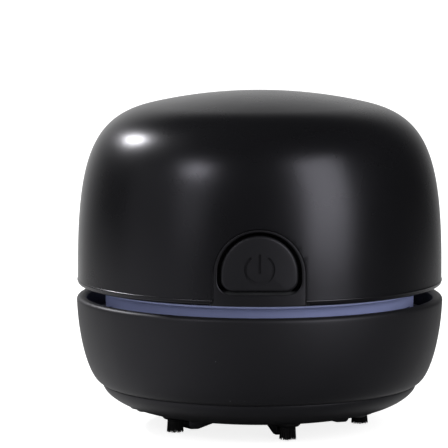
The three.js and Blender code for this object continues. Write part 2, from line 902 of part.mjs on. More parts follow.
function motorEndCap() {
  let made = revolve([
    [shaftPassage, motorTop - endCapPlug],
    [magnetRadius, motorTop - endCapPlug],
    [magnetRadius, endCapBottom],
    [motorRadius, endCapBottom],
    [motorRadius, endCapTop],
    [motorBossRadius, endCapTop],
    [motorBossRadius, endCapTop + endBossHeight],
    [shaftPassage, endCapTop + endBossHeight],
  ], partSides);
  const slotX = terminalWidth / 2 + clearance;
  const slotY = terminalThickness / 2 + clearance;
  for (const x of [-terminalSpread, terminalSpread]) {
    made = made.subtract(block(
      [x - slotX, x + slotX],
      [-slotY, slotY],
      [motorTop - endCapPlug - overrun, endCapTop + overrun],
    ));
  }
  return made;
}

function terminal() {
  return block(
    [-terminalWidth / 2, terminalWidth / 2],
    [-terminalThickness / 2, terminalThickness / 2],
    [motorTop - endCapPlug, endCapTop + terminalReach],
  );
}

// A curved magnet against the inside of the motor can, centred on the right.
function magnet() {
  const from = 90 - magnetSpan / 2;
  const to = 90 + magnetSpan / 2;
  return sector(magnetRadius - magnetThickness, magnetRadius, magnetBottom, magnetTop, from, to);
}

// The spinning core with its three poles, on the shaft that carries the impeller.
function motorArmature() {
  const bottom = magnetBottom + coreGap;
  const top = magnetTop - coreGap;
  let core = rod(coreRadius, bottom, top);
  for (let i = 0; i < poleCount; i += 1) {
    const slot = block(
      [-coreSlotWidth / 2, coreSlotWidth / 2],
      [-coreRadius - overrun, -coreRadius + coreSlotDepth],
      [bottom - overrun, top + overrun],
    );
    core = core.subtract(slot.rotate([0, 0, (i * 360) / poleCount]));
  }
  return core.add(rod(shaftRadius, fanBottom, endCapTop + endBossHeight / 2, 12));
}

// A cell that lies along Y with its nub at the back.
function batteryCell() {
  const half = (cellLength + nubLength) / 2;
  return revolve([
    [0, -half],
    [cellRadius - clearance, -half],
    [cellRadius, -half + clearance],
    [cellRadius, half - nubLength],
    [nubRadius, half - nubLength],
    [nubRadius, half],
    [0, half],
  ], partSides);
}

// A contact plate with its solder tab towards the middle, to the right of the motor.
function contactPlate() {
  const bottom = chassisTop + clearance;
  const inner = cellPlace - contactHalf;
  const depth = [-bayHalf - contactThickness, -bayHalf];
  const tab = block(
    [inner - tabLength, inner + overrun],
    depth,
    [bottom + tabLift, bottom + tabLift + tabHeight],
  );
  return block([inner, cellPlace + contactHalf], depth, [bottom, contactTop]).add(tab);
}

function contactLink() {
  const reach = cellPlace + contactHalf;
  const depth = [bayHalf, bayHalf + contactThickness];
  return block([-reach, reach], depth, [chassisTop + clearance, contactTop]);
}

// Places along the middle of a contact spring, from its plate at zero to the cell.
function springPath() {
  const coilLength = springLength - wireRadius * 4;
  const steps = Math.round(springTurns * springStepsPerTurn);
  const coil = Array.from({ length: steps + 1 }, (_, i) => {
    const share = i / steps;
    const radius = springWideRadius + (springNarrowRadius - springWideRadius) * share;
    const angle = share * springTurns * Math.PI * 2;
    return new THREE.Vector3(
      radius * Math.cos(angle),
      radius * Math.sin(angle),
      wireRadius * 2 + coilLength * share,
    );
  });
  const first = coil[0].clone().setZ(0);
  const last = coil[coil.length - 1].clone().setZ(springLength);
  return [first, ...coil, last];
}

// A wire of five sides along a chain of points, one unbroken tube.
function wire(path, radius, sides) {
  const rings = path.map((point, i) => {
    const before = path[Math.max(i - 1, 0)];
    const after = path[Math.min(i + 1, path.length - 1)];
    const along = after.clone().sub(before).normalize();
    const outward = new THREE.Vector3(point.x, point.y, 0).normalize();
    const side = new THREE.Vector3().crossVectors(along, outward).normalize();
    const up = new THREE.Vector3().crossVectors(side, along);
    return Array.from({ length: sides }, (_, j) => {
      const angle = (j * Math.PI * 2) / sides;
      return point.clone()
        .addScaledVector(up, radius * Math.cos(angle))
        .addScaledVector(side, radius * Math.sin(angle));
    });
  });
  return loft(rings);
}

// The least gap between two turns of a spring, measured between points of its middle line.
function springGap() {
  const path = springPath().slice(1, -1);
  let least = Infinity;
  path.forEach((a, i) => {
    for (const b of path.slice(i + springStepsPerTurn - 2)) least = Math.min(least, a.distanceTo(b));
  });
  return least - wireRadius * 2;
}

// The outer face of the cover, from its bottom edge to the crown.
function coverSkin(sideSteps, crownSteps) {
  const shoulderHeight = coverTop - shoulderDrop;
  const crownRadius = (shoulderRadius ** 2 + shoulderDrop ** 2) / (2 * shoulderDrop);
  const slope = shoulderRadius / (crownRadius - shoulderDrop);
  const start = coverBottom + coverStraight;
  const reach = (coverRadius - shoulderRadius) * coverShoulderShare;
  const side = cubic([
    [coverRadius, start],
    [coverRadius, start + (shoulderHeight - start) * coverSideShare],
    [shoulderRadius + reach, shoulderHeight - reach * slope],
    [shoulderRadius, shoulderHeight],
  ], sideSteps);
  const crown = Array.from({ length: crownSteps }, (_, i) => {
    const r = shoulderRadius * (1 - (i + 1) / crownSteps);
    return [r, coverTop - crownRadius + Math.sqrt(crownRadius ** 2 - r ** 2)];
  });
  return [...side, ...crown];
}

function archShape(halfWidth, bottom) {
  const shape = new THREE.Shape();
  shape.moveTo(-halfWidth, bottom);
  shape.lineTo(halfWidth, bottom);
  shape.lineTo(halfWidth, archCentre);
  shape.absarc(0, archCentre, halfWidth, 0, Math.PI, false);
  return shape;
}

// The outline of the button: a half circle over a bottom edge with round corners.
function buttonShape(grown, bottom) {
  const half = buttonHalfWidth + grown;
  const corner = buttonCorner + grown / 2;
  const shape = new THREE.Shape();
  shape.moveTo(-half + corner, bottom);
  shape.lineTo(half - corner, bottom);
  shape.absarc(half - corner, bottom + corner, corner, -Math.PI / 2, 0, false);
  shape.absarc(0, archCentre, half, 0, Math.PI, false);
  shape.absarc(-half + corner, bottom + corner, corner, Math.PI, Math.PI * 1.5, false);
  return shape;
}

function topCover() {
  const round = coverEdgeRound;
  const bottomEdge = ([r, z]) => [r, coverBottom + coverEdgeRise * (1 + z / round)];
  const inside = offset(coverSkin(4, 2), coverWall);
  const apex = inside.pop();
  let made = revolve([
    [coverInnerRadius, coverBottom],
    ...arc([coverRadius - round, 0], round, 270, 360, 3).map(bottomEdge),
    ...coverSkin(8, 3),
    [0, apex[1]],
    ...inside.reverse(),
  ], shellSides);
  const ribBottom = chassisTop + clearance;
  for (const angle of stopRibAngles) {
    const rib = block(
      [-stopRibWidth / 2, stopRibWidth / 2],
      [-coverInnerRadius - coverWall / 2, -coverInnerRadius + stopRibDepth],
      [ribBottom, ribBottom + stopRibHeight],
    );
    made = made.add(rib.rotate([0, 0, angle]));
  }
  const notch = archShape(bezelHalfWidth + clearance, coverBottom - overrun);
  return made.subtract(carry(notch, -coverRadius - overrun, -coverInnerRadius / 2, 10));
}

function earPlace() {
  return [
    buttonHalfWidth + buttonFlange + clearance + earWidth / 2,
    (earFront + earBack) / 2,
  ];
}

function switchBezel() {
  const seat = chassisTop + clearance;
  const opening = buttonShape(grooveWidth, seat);
  const front = -coverRadius - overrun;
  const face = carry(archShape(bezelHalfWidth, coverBottom + bezelLift), front, -motorRadius, 10)
    .intersect(tube(bezelBackRadius, coverRadius, coverBottom, coverTop, shellSides))
    .subtract(rod(chassisRadius + clearance, coverBottom - overrun, seat, shellSides));
  const flangeRadii = [bezelBackRadius, bezelBackRadius + bezelFlangeThickness];
  const flange = carry(archShape(bezelHalfWidth + bezelFlangeWidth, seat), front, -motorRadius, 10)
    .intersect(tube(...flangeRadii, coverBottom, coverTop, shellSides));
  const [earX, earY] = earPlace();
  const ear = block(
    [earX - earWidth / 2, earX + earWidth / 2],
    [-bezelBackRadius, earBack],
    [seat, seat + earThickness],
  ).intersect(rod(bezelBackRadius + bezelFlangeThickness / 2, seat, coverTop, shellSides))
    .subtract(
      rod(screwHoleRadius, seat - overrun, seat + earThickness + overrun, screwSides)
        .translate([earX, earY, 0]),
    );
  return face.add(flange)
    .subtract(carry(opening, front, -motorRadius, 6))
    .add(ear)
    .add(ear.mirror([1, 0, 0]));
}

// The cap of the button: its face follows the round of the cover and its edge is rounded over.
function powerButton() {
  const faceRadius = coverRadius - buttonRecess;
  const outline = buttonShape(0, buttonBottom).getPoints(4);
  const middle = (buttonBottom + archCentre + buttonHalfWidth) / 2;
  const distinct = outline.filter((point, i) => i === 0 || point.distanceTo(outline[i - 1]) > weld);
  const ring = (inset, depth, flat) => distinct.map(({ x, y }) => {
    const share = 1 - inset / buttonHalfWidth;
    const across = x * share;
    const face = -Math.sqrt(faceRadius ** 2 - across ** 2) + depth;
    return new THREE.Vector3(across, flat ?? face, middle + (y - middle) * share);
  });
  const cap = loft([
    ring(0, 0, buttonFlangeFront + buttonFlangeThickness / 2),
    ring(0, buttonRound),
    ring(buttonRound * buttonRoundShare, buttonRound * buttonRoundShare),
    ring(buttonRound, 0),
    ring(buttonHalfWidth / 2, 0),
  ]);
  const stop = buttonShape(buttonFlange, chassisTop + clearance * 2);
  return cap
    .add(carry(stop, buttonFlangeFront, buttonFlangeBack, 5))
    .add(rodAlongY(stemRadius, buttonFlangeBack - overrun / 2, stemBack, 0, switchAxis));
}

function switchPlunger() {
  return rodAlongY(plungerRadius, plungerFront, plungerFront + plungerLength, 0, switchAxis, 12)
    .add(rodAlongY(stemRadius, plungerFront, plungerFront + plungerRadius / 2, 0, switchAxis, 12));
}

function boardMiddle() {
  return boardBackEdge - postRadius - clearance;
}

function switchBoard() {
  let made = block(
    [-boardWidth / 2, boardWidth / 2],
    [boardFrontEdge, boardBackEdge],
    [boardBottom, boardTop],
  );
  for (const x of [-postSpread, postSpread]) {
    const hole = rod(pegRadius + clearance, boardBottom - overrun, boardTop + overrun, 8);
    made = made.subtract(hole.translate([x, boardMiddle(), 0]));
  }
  return made;
}

function latchSwitch() {
  const half = switchSize / 2;
  const boreBack = plungerFront + plungerLength + buttonTravel + clearance;
  const bore = rodAlongY(plungerRadius + clearance, switchFront - overrun, boreBack, 0, switchAxis, 12);
  return block(
    [-half, half],
    [switchFront, switchFront + switchSize],
    [switchAxis - half, switchAxis + half],
  ).subtract(bore);
}

// A lead along a smooth curve through its places.
function lead(places, steps) {
  const path = new THREE.CatmullRomCurve3(places.map((place) => new THREE.Vector3(...place)));
  const section = new THREE.Shape(Array.from({ length: wireSides }, (_, i) => {
    const angle = (i * Math.PI * 2) / wireSides;
    return new THREE.Vector2(leadRadius * Math.cos(angle), leadRadius * Math.sin(angle));
  }));
  return solid(new THREE.ExtrudeGeometry(section, { steps, extrudePath: path, bevelEnabled: false }));
}

const tabEnd = cellPlace - contactHalf - tabLength - clearance;
const tabMiddle = chassisTop + clearance + tabLift + tabHeight / 2;
const tabPlane = -bayHalf - contactThickness / 2;
const terminalTop = endCapTop + terminalReach + clearance;
const leadLane = (motorRadius + cellPlace - cellRadius) * leadLaneShare;

function leads() {
  const boardEdge = boardWidth / 2 - leadRadius * 2;
  const solder = boardTop + clearance;
  const backEdge = boardBackEdge - leadRadius;
  piece("lead_battery_switch", lead([
    [tabEnd, tabPlane, tabMiddle],
    [tabEnd - leadRadius * 3, tabPlane, tabMiddle],
    [boardEdge + leadRadius, tabPlane - leadRadius, solder + leadRadius * 3],
    [boardEdge, tabPlane - leadRadius, solder],
  ], 6), leadRed);
  piece("lead_switch_motor", lead([
    [boardEdge, backEdge, solder],
    [boardEdge, backEdge, solder + leadRadius * 4],
    [leadLane, -motorRadius, cellAxis + leadRadius * 2],
    [leadLane, -motorRadius * besideMotorShare, motorTop],
    [terminalSpread + leadRadius * 3, -motorRadius * overMotorShare, terminalTop + leadRadius],
    [terminalSpread, 0, terminalTop + leadRadius * 2],
    [terminalSpread, 0, terminalTop],
  ], 12), leadRed);
  piece("lead_battery_motor", lead([
    [-tabEnd, tabPlane, tabMiddle],
    [-tabEnd + leadRadius * 3, tabPlane + leadRadius, tabMiddle + leadRadius * 2],
    [-leadLane, -motorRadius * beforeMotorShare, (tabMiddle + motorTop) / 2],
    [-leadLane, -motorRadius * besideMotorShare, motorTop],
    [-terminalSpread - leadRadius * 3, -motorRadius * overMotorShare, terminalTop + leadRadius],
    [-terminalSpread, 0, terminalTop + leadRadius * 2],
    [-terminalSpread, 0, terminalTop],
  ], 12), leadBlack);
}

// The part that is emptied
const backingBottom = baseBottom + pocketDepth - clearance - backingThickness;
const backingTop = backingBottom + backingThickness;
piece("suction_base", suctionBase(), matteBlack);
for (const [name, index] of singleTufts) {
  const backing = rod(backingRadius, backingBottom, backingTop, 12)
    .translate([...around(tuftCircle, tuftAngle(index)), 0]);
  piece(`brush_tuft_${name}`, tuft(backing, [index]), bristleBlack);
}
piece(
  "brush_tufts_rear",
  tuft(rearBacking(backingRadius, backingBottom, backingTop), rearTufts),
  bristleBlack,
);
piece("lower_bowl", lowerBowl(), matteBlack);
piece("dust_cup", dustCup(), innerGrey);
const baseScrewSeat = baseBottom + baseScrewPocket - clearance;
const baseScrewLength = cupFloorTop + bossHeight - bossCap - clearance - baseScrewSeat;
baseScrewAngles.forEach((angle, i) => {
  const place = [...around(baseScrewCircle, angle), baseScrewSeat];
  piece(`base_screw_${i + 1}`, screw(baseScrewLength), steel, place, [180, 0, 0]);
});

// The gasket and the head
piece("seal_ring", sealRing(), rubberBlack);
piece("exhaust_ring", exhaustRing(), slateBlue);
piece("fan_inlet_plate", fanInletPlate(), innerGrey);
piece("filter_frame", filterFrame(), innerGrey);
piece("filter_screen", filterScreen(), feltGrey);
piece("motor_chassis", motorChassis(), innerGrey);
columnAngles.forEach((angle, i) => {
  const place = [...around(columnCircle, angle), chassisTop + clearance];
  piece(`ring_screw_${i + 1}`, screw(chassisThickness + screwBite), steel, place);
});

// The motor and the fan
piece("motor_can", motorCan(), steel);
piece("motor_end_cap", motorEndCap(), matteBlack);
const motorScrewLength = chassisThickness + motorFace + clearance * 2;
for (const [name, side] of [["left", -1], ["right", 1]]) {
  const facing = side > 0 ? 0 : 180;
  piece(`motor_magnet_${name}`, magnet(), magnetGrey, [0, 0, 0], [0, 0, facing]);
  piece(`motor_terminal_${name}`, terminal(), brass, [side * terminalSpread, 0, 0]);
  const screwPlace = [side * motorScrewSpread, 0, chassisBottom - clearance];
  piece(`motor_screw_${name}`, screw(motorScrewLength), steel, screwPlace, [180, 0, 0]);
}
piece("motor_armature", motorArmature(), steel);
piece("impeller", impeller(), fanWhite);

// The cells and their contacts
const cellShift = (springLength + clearance) / 2;
piece("battery_cell_left", batteryCell(), cellSleeve, [-cellPlace, -cellShift, cellAxis], [90, 0, 0]);
piece("battery_cell_right", batteryCell(), cellSleeve, [cellPlace, cellShift, cellAxis], [-90, 0, 0]);
piece("contact_plate_right", contactPlate(), steel);
piece("contact_plate_left", contactPlate().mirror([1, 0, 0]), steel);
piece("contact_link", contactLink(), steel);
const springPlace = bayHalf - clearance;
const spring = wire(springPath(), wireRadius, springTubeSides);
piece("contact_spring_front", spring, steel, [cellPlace, -springPlace, cellAxis], [-90, 0, 0]);
piece("contact_spring_rear", spring, steel, [-cellPlace, springPlace, cellAxis], [90, 0, 0]);
console.log("least gap between turns of a contact spring, mm:", springGap().toFixed(2));

// The cover, the button and the switch
piece("top_cover", topCover(), satinBlack);
piece("switch_bezel", switchBezel(), matteBlack);
for (const [name, side] of [["left", -1], ["right", 1]]) {
  const place = [side * earPlace()[0], earPlace()[1], chassisTop + earThickness + clearance * 2];
  piece(`bezel_screw_${name}`, screw(earThickness + chassisThickness), steel, place);
}
piece("power_button", powerButton(), matteBlack);
piece("switch_plunger", switchPlunger(), fanWhite);
piece("switch_board", switchBoard(), boardGreen);
piece("latch_switch", latchSwitch(), matteBlack);
leads();

export default vacuum;
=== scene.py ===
import math
import random

import bpy
import bmesh
from mathutils import Matrix, Vector


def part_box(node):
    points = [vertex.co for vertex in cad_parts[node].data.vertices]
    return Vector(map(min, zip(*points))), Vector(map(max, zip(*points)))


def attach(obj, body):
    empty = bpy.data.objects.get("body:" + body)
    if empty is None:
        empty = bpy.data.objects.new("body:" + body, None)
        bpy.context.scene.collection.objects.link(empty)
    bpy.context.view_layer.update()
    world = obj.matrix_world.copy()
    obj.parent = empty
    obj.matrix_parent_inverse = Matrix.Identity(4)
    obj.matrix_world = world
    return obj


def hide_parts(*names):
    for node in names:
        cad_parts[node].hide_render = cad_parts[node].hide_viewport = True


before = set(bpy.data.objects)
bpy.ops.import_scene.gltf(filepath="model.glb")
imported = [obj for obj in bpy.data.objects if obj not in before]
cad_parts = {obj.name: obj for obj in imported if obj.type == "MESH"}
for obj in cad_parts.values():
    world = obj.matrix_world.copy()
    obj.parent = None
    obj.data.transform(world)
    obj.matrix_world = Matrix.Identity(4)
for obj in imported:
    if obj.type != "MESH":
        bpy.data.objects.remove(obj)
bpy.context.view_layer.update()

MM = 0.001
GAP = 0.3
OVERRUN = 1.0
SHELL_SIDES = 192
INNER_SIDES = 96
SMALL_SIDES = 32
WIRE_SIDES = 12


def box(node):
    """The lowest and highest corner of a node, in millimetres."""
    low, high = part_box(node)
    return low / MM, high / MM


def span(node):
    """The radius, the bottom and the top of a round node."""
    low, high = box(node)
    return high.x, low.z, high.z


def middle(node):
    """The place of a node on the plan."""
    low, high = box(node)
    return (low.x + high.x) / 2, (low.y + high.y) / 2


# Meshes

def linked(name, data):
    made = bpy.data.objects.new(name, data)
    bpy.context.scene.collection.objects.link(made)
    return made


def mesh_object(name, points, faces):
    """A mesh whose faces point out, from points in millimetres."""
    mesh = bpy.data.meshes.new(name)
    mesh.from_pydata([(x * MM, y * MM, z * MM) for x, y, z in points], [], faces)
    shape = bmesh.new()
    shape.from_mesh(mesh)
    bmesh.ops.recalc_face_normals(shape, faces=shape.faces)
    shape.to_mesh(mesh)
    shape.free()
    return linked(name, mesh)


def rounded(corners, radius, steps):
    """A closed outline with round corners. A corner may bring its own radius, and zero keeps it sharp."""
    outline = []
    for i, corner in enumerate(corners):
        here = Vector(corner[:2])
        before = Vector(corners[i - 1][:2]) - here
        after = Vector(corners[(i + 1) % len(corners)][:2]) - here
        wanted = corner[2] if len(corner) > 2 else radius
        if wanted == 0:
            outline.append(tuple(here))
            continue
        half = before.angle(after) / 2
        reach = min(wanted / math.tan(half), before.length * 0.45, after.length * 0.45)
        own = reach * math.tan(half)
        centre = here + (before.normalized() + after.normalized()).normalized() * (own / math.sin(half))
        first = here + before.normalized() * reach - centre
        last = here + after.normalized() * reach - centre
        for step in range(steps + 1):
            outline.append(tuple(centre + first.slerp(last, step / steps)))
    return outline


def inset(corners, distance):
    """A counter-clockwise outline with every side moved in by a distance."""
    moved = []
    for i, corner in enumerate(corners):
        here = Vector(corner[:2])
        arriving = (here - Vector(corners[i - 1][:2])).normalized()
        leaving = (Vector(corners[(i + 1) % len(corners)][:2]) - here).normalized()
        first, second = Vector((-arriving.y, arriving.x)), Vector((-leaving.y, leaving.x))
        way = (first + second) / (1 + first.dot(second))
        moved.append((*(here + way * distance), *corner[2:]))
    return moved


def turned(name, outline, sides=INNER_SIDES):
    """A closed outline of radius and height turned about the Z axis."""
    points, faces, rings = [], [], []
    for r, z in outline:
        if abs(r) < 1e-9:
            rings.append([len(points)] * sides)
            points.append((0, 0, z))
            continue
        rings.append(list(range(len(points), len(points) + sides)))
        for j in range(sides):
            angle = 2 * math.pi * j / sides
            points.append((r * math.sin(angle), -r * math.cos(angle), z))
    for i, ring in enumerate(rings):
        following = rings[(i + 1) % len(rings)]
        for j in range(sides):
            k = (j + 1) % sides
            face = list(dict.fromkeys((ring[j], ring[k], following[k], following[j])))
            if len(face) > 2:
                faces.append(face)
    return mesh_object(name, points, faces)


def rod(name, radius, bottom, top, edge, sides=SMALL_SIDES):
    corners = [(0, bottom, 0), (radius, bottom), (radius, top), (0, top, 0)]
    return turned(name, rounded(corners, edge, 3), sides)


def rectangle(left, bottom, right, top):
    return [(left, bottom), (right, bottom), (right, top), (left, top)]


def tube(name, inner, outer, bottom, top, edge=0.15, sides=INNER_SIDES):
    return turned(name, rounded(rectangle(inner, bottom, outer, top), edge, 3), sides)


def loft(name, rings, last_tip=None):
    """Rings of equal count skinned in order, with flat ends or a last end that closes on its tip."""
    count = len(rings[0])
    points = [point for ring in rings for point in ring]
    faces = [list(range(count))]
    for i in range(len(rings) - 1):
        for j in range(count):
            a, b = i * count + j, i * count + (j + 1) % count
            faces.append((a, b, b + count, a + count))
    last = (len(rings) - 1) * count
    if last_tip is None:
        faces.append([last + j for j in range(count)])
    else:
        points.append(last_tip)
        faces += [(last + j, last + (j + 1) % count, len(points) - 1) for j in range(count)]
    return mesh_object(name, points, faces)


def upright(u, v, w):
    return u, v, w


def facing(u, v, w):
    """An outline drawn as X and Z, with its depth along Y."""
    return u, w, v


def sideways(u, v, w):
    """An outline of radius and height in the plane that faces the front, with its depth along X."""
    return w, -u, v


def rounding(size, steps):
    """Steps round an edge, each by its distance from the one face and from the other."""
    turns = [math.pi / 2 * i / steps for i in range(steps + 1)]
    return [(size * (1 - math.sin(turn)), size * (1 - math.cos(turn))) for turn in turns]


def slab(name, corners, low, high, edge, radius=0.3, steps=3, place=upright):
    """A counter-clockwise outline given thickness, with its corners and both rims rounded."""
    turns = rounding(min(edge, (high - low) * 0.45), steps)
    levels = [(first, low + second) for first, second in turns]
    levels += [(second, high - first) for first, second in turns]
    rings = []
    for sunk, level in levels:
        outline = rounded(inset(corners, sunk), radius, steps)
        rings.append([place(u, v, level) for u, v in outline])
    return loft(name, rings)


def block(name, low, high, edge):
    """A block with every edge rounded."""
    edge = min(edge, *((b - a) * 0.4 for a, b in zip(low, high)))
    return slab(name, rectangle(*low[:2], *high[:2]), low[2], high[2], edge, edge, 2)


def around(radius, degrees):
    """A place on a circle; the angle runs from the front towards plus X."""
    angle = math.radians(degrees)
    return radius * math.sin(angle), -radius * math.cos(angle)


def sector(name, inner, outer, bottom, top, start, end, edge=0.15, steps=16):
    """A stretch of a ring with its corners and rims rounded."""
    centre, half_width = (inner + outer) / 2, (outer - inner) / 2
    half_length = math.radians(end - start) / 2 * centre
    edge = min(edge, half_width * 0.8, (top - bottom) * 0.45)
    corners = []
    for side in (-1, 1):
        for i in range(steps + 1):
            along = half_length * (2 * i / steps - 1)
            corners.append((-along * side, half_width * side, edge if i in (0, steps) else 0))

    def bent(u, v, w):
        return *around(centre + v, (start + end) / 2 + math.degrees(u / centre)), w

    return slab(name, corners, bottom, top, edge, edge, 3, bent)


def wire(name, path, radius):
    """A round wire along a chain of points."""
    rings = []
    side = (path[1] - path[0]).orthogonal()
    for i, point in enumerate(path):
        along = (path[min(i + 1, len(path) - 1)] - path[max(i - 1, 0)]).normalized()
        side = (side - along * side.dot(along)).normalized()
        up = along.cross(side)
        turns = [2 * math.pi * k / WIRE_SIDES for k in range(WIRE_SIDES)]
        ways = [side * math.cos(turn) + up * math.sin(turn) for turn in turns]
        rings.append([tuple(point + way * radius) for way in ways])
    return loft(name, rings)


def placed(thing, offset=(0, 0, 0), turn=0.0, axis="Z"):
    """The same mesh turned about an axis in degrees and then moved, in millimetres."""
    thing.data.transform(Matrix.Rotation(math.radians(turn), 4, axis))
    thing.data.transform(Matrix.Translation(Vector(offset) * MM))
    return thing


def peg(place, radius, bottom, top, edge=0.15):
    """A rod at a place on the plan, to join or to cut with."""
    return placed(rod("peg", radius, bottom, top, edge), (*place, 0))


def peg_along_y(place, radius, front, back, edge=0.15, sides=SMALL_SIDES):
    """A rod along Y, from its front to its back end, at an X and a height."""
    lying = placed(rod("peg", radius, -back, -front, edge, sides), turn=90, axis="X")
    return placed(lying, (place[0], 0, place[1]))


def combined(base, tools, operation):
    """Base with the tools joined to it, cut from it or kept where they meet it."""
    for tool in tools:
        step = base.modifiers.new("step", "BOOLEAN")
        step.operation = operation
        step.solver = "MANIFOLD"
        step.object = tool
    graph = bpy.context.evaluated_depsgraph_get()
    made = bpy.data.meshes.new_from_object(base.evaluated_get(graph))
    if not made.polygons:
        raise RuntimeError(f"nothing is left of {base.name}")
    base.modifiers.clear()
    base.data = made
    made.name = base.name
    for tool in tools:
        bpy.data.objects.remove(tool)
    return base


def joined(base, tools):
    return combined(base, tools, "UNION")


def cut(base, tools):
    return combined(base, tools, "DIFFERENCE")


def gathered(name, things):
    """Separate closed bodies as one object."""
    whole = bmesh.new()
    for thing in things:
        whole.from_mesh(thing.data)
        bpy.data.objects.remove(thing)
    mesh = bpy.data.meshes.new(name)
    whole.to_mesh(mesh)
    whole.free()
    return linked(name, mesh)


def blended(corners, t):
    """The point at a share of a Bezier curve with any number of corners."""
    while len(corners) > 1:
        corners = [tuple(a + (b - a) * t for a, b in zip(p, q)) for p, q in zip(corners, corners[1:])]
    return corners[0]


def bezier(corners, steps):
    return [blended(corners, i / steps) for i in range(steps + 1)]


def arc(centre, radius, start, end, steps):
    """An arc of an outline, its angles from plus R towards plus Z."""
    turns = [math.radians(start + (end - start) * i / steps) for i in range(steps + 1)]
    return [(centre[0] + radius * math.cos(turn), centre[1] + radius * math.sin(turn)) for turn in turns]


def beside(points, distance):
    """The points of an outline moved square to it, towards its left."""
    moved = []
    for i, (r, z) in enumerate(points):
        before, after = points[max(i - 1, 0)], points[min(i + 1, len(points) - 1)]
        run = Vector(after) - Vector(before)
        moved.append((r - distance * run.y / run.length, z + distance * run.x / run.length))
    return moved


def smooth_path(places, steps):
    """A curve through places that keeps to its course where they lie unevenly."""
    knots = [Vector(place) for place in places]
    knots = [knots[0] * 2 - knots[1], *knots, knots[-1] * 2 - knots[-2]]
    path = []
    for p0, p1, p2, p3 in zip(knots, knots[1:], knots[2:], knots[3:]):
        d0, d1, d2 = ((b - a).length ** 0.5 for a, b in ((p0, p1), (p1, p2), (p2, p3)))
        leave = ((p1 - p0) / d0 - (p2 - p0) / (d0 + d1) + (p2 - p1) / d1) * d1
        arrive = ((p2 - p1) / d1 - (p3 - p1) / (d1 + d2) + (p3 - p2) / d2) * d1
        corners = [tuple(p) for p in (p1, p1 + leave / 3, p2 - arrive / 3, p2)]
        path += [Vector(point) for point in bezier(corners, steps)[:-1]]
    return [*path, knots[-2]]


# Materials

class Nodes:
    """The nodes of a material or of the world."""

    def __init__(self, owner):
        owner.use_nodes = True
        self.tree = owner.node_tree

    def feed(self, node, inputs):
        """Sets inputs to values, or links them to the outputs of other nodes."""
        for key, value in inputs.items():
            if isinstance(value, bpy.types.NodeSocket):
                self.tree.links.new(value, node.inputs[key])
            else:
                node.inputs[key].default_value = value

    def add(self, kind, inputs, output=0, **settings):
        """One output of a new node."""
        node = self.tree.nodes.new("ShaderNode" + kind)
        for name, value in settings.items():
            setattr(node, name, value)
        self.feed(node, inputs)
        return node.outputs[output]

    def calculated(self, operation, first, second):
        return self.add("Math", {0: first, 1: second}, operation=operation)

    def along(self, way, direction):
        return self.add("VectorMath", {0: way, 1: direction}, "Value", operation="DOT_PRODUCT")

    def ranged(self, value, start, end, low, high, **settings):
        limits = {"From Min": start, "From Max": end, "To Min": low, "To Max": high}
        return self.add("MapRange", {"Value": value, **limits}, **settings)

    def mixed(self, factor, first, second):
        return self.add("Mix", {"Factor": factor, 6: first, 7: second}, 2, data_type="RGBA")


def linear(red, green, blue):
    """A colour written in the 0 to 255 values of the screen."""
    def one(value):
        share = value / 255
        return share / 12.92 if share <= 0.04045 else ((share + 0.055) / 1.055) ** 2.4
    return one(red), one(green), one(blue), 1.0


SPREAD = (0.3, 0.7)
WORN_EDGE = 0.2
DUST_SPACING = 3.2
DUST_COLOUR = linear(150, 150, 155)
COOL = (0.90, 0.885, 1.0)
SURFACES = {}


def surface(name, colour, roughness, grain, grain_size=0.16, metallic=0.0, mottle=0.08,
            mottle_size=14.0, smudge=0.05, stretch=(1, 1, 1), wear=0.0, dust=0.0, sheen=(1, 1, 1)):
    """A moulded or metal surface: mottled colour, smudged roughness and a fine grain, in millimetres."""
    material = bpy.data.materials.new(name)
    nodes = Nodes(material)
    place = nodes.add("TexCoord", {}, "Object")
    red, green, blue, _ = linear(*colour)

    def changed(times, plus=0.0):
        return tuple(min(c * times + plus, 1.0) for c in (red, green, blue)) + (1.0,)

    def noise(size, detail, stretch=(1, 1, 1)):
        vector = nodes.add("Mapping", {"Vector": place, "Scale": stretch})
        look = {"Vector": vector, "Scale": 1 / (size * MM), "Detail": detail}
        return nodes.add("TexNoise", look, "Fac")

    mottled = nodes.ranged(noise(mottle_size, 4), *SPREAD, 0, 1)
    shade = nodes.mixed(mottled, changed(1 - mottle), changed(1 + mottle))
    bump = {"Distance": grain * MM, "Strength": 1.0, "Height": noise(grain_size, 2, stretch)}
    if wear:
        bump["Normal"] = nodes.add("Bevel", {"Radius": WORN_EDGE * MM}, samples=6)
        flat = nodes.along(bump["Normal"], nodes.add("NewGeometry", {}, "Normal"))
        shade = nodes.mixed(nodes.ranged(flat, 0.8, 0.995, 1, 0), shade, changed(1, wear))
    if dust:
        speck = nodes.add("TexVoronoi", {"Vector": place, "Scale": 1 / (DUST_SPACING * MM)}, "Distance")
        chosen = nodes.add("SeparateColor", {"Color": speck.node.outputs["Color"]}, "Red")
        near, rare = nodes.ranged(speck, 0.02, 0.05, 1, 0), nodes.ranged(chosen, 0.9, 0.98, 0, dust)
        shade = nodes.mixed(nodes.calculated("MULTIPLY", near, rare), shade, DUST_COLOUR)
    smudges = noise(mottle_size * 0.6, 5, stretch)
    nodes.feed(nodes.tree.nodes["Principled BSDF"], {
        "Metallic": metallic,
        "Specular Tint": (*sheen, 1.0),
        "Base Color": shade,
        "Roughness": nodes.ranged(smudges, *SPREAD, roughness - smudge, roughness + smudge),
        "Normal": nodes.add("Bump", bump),
    })
    SURFACES[name] = material


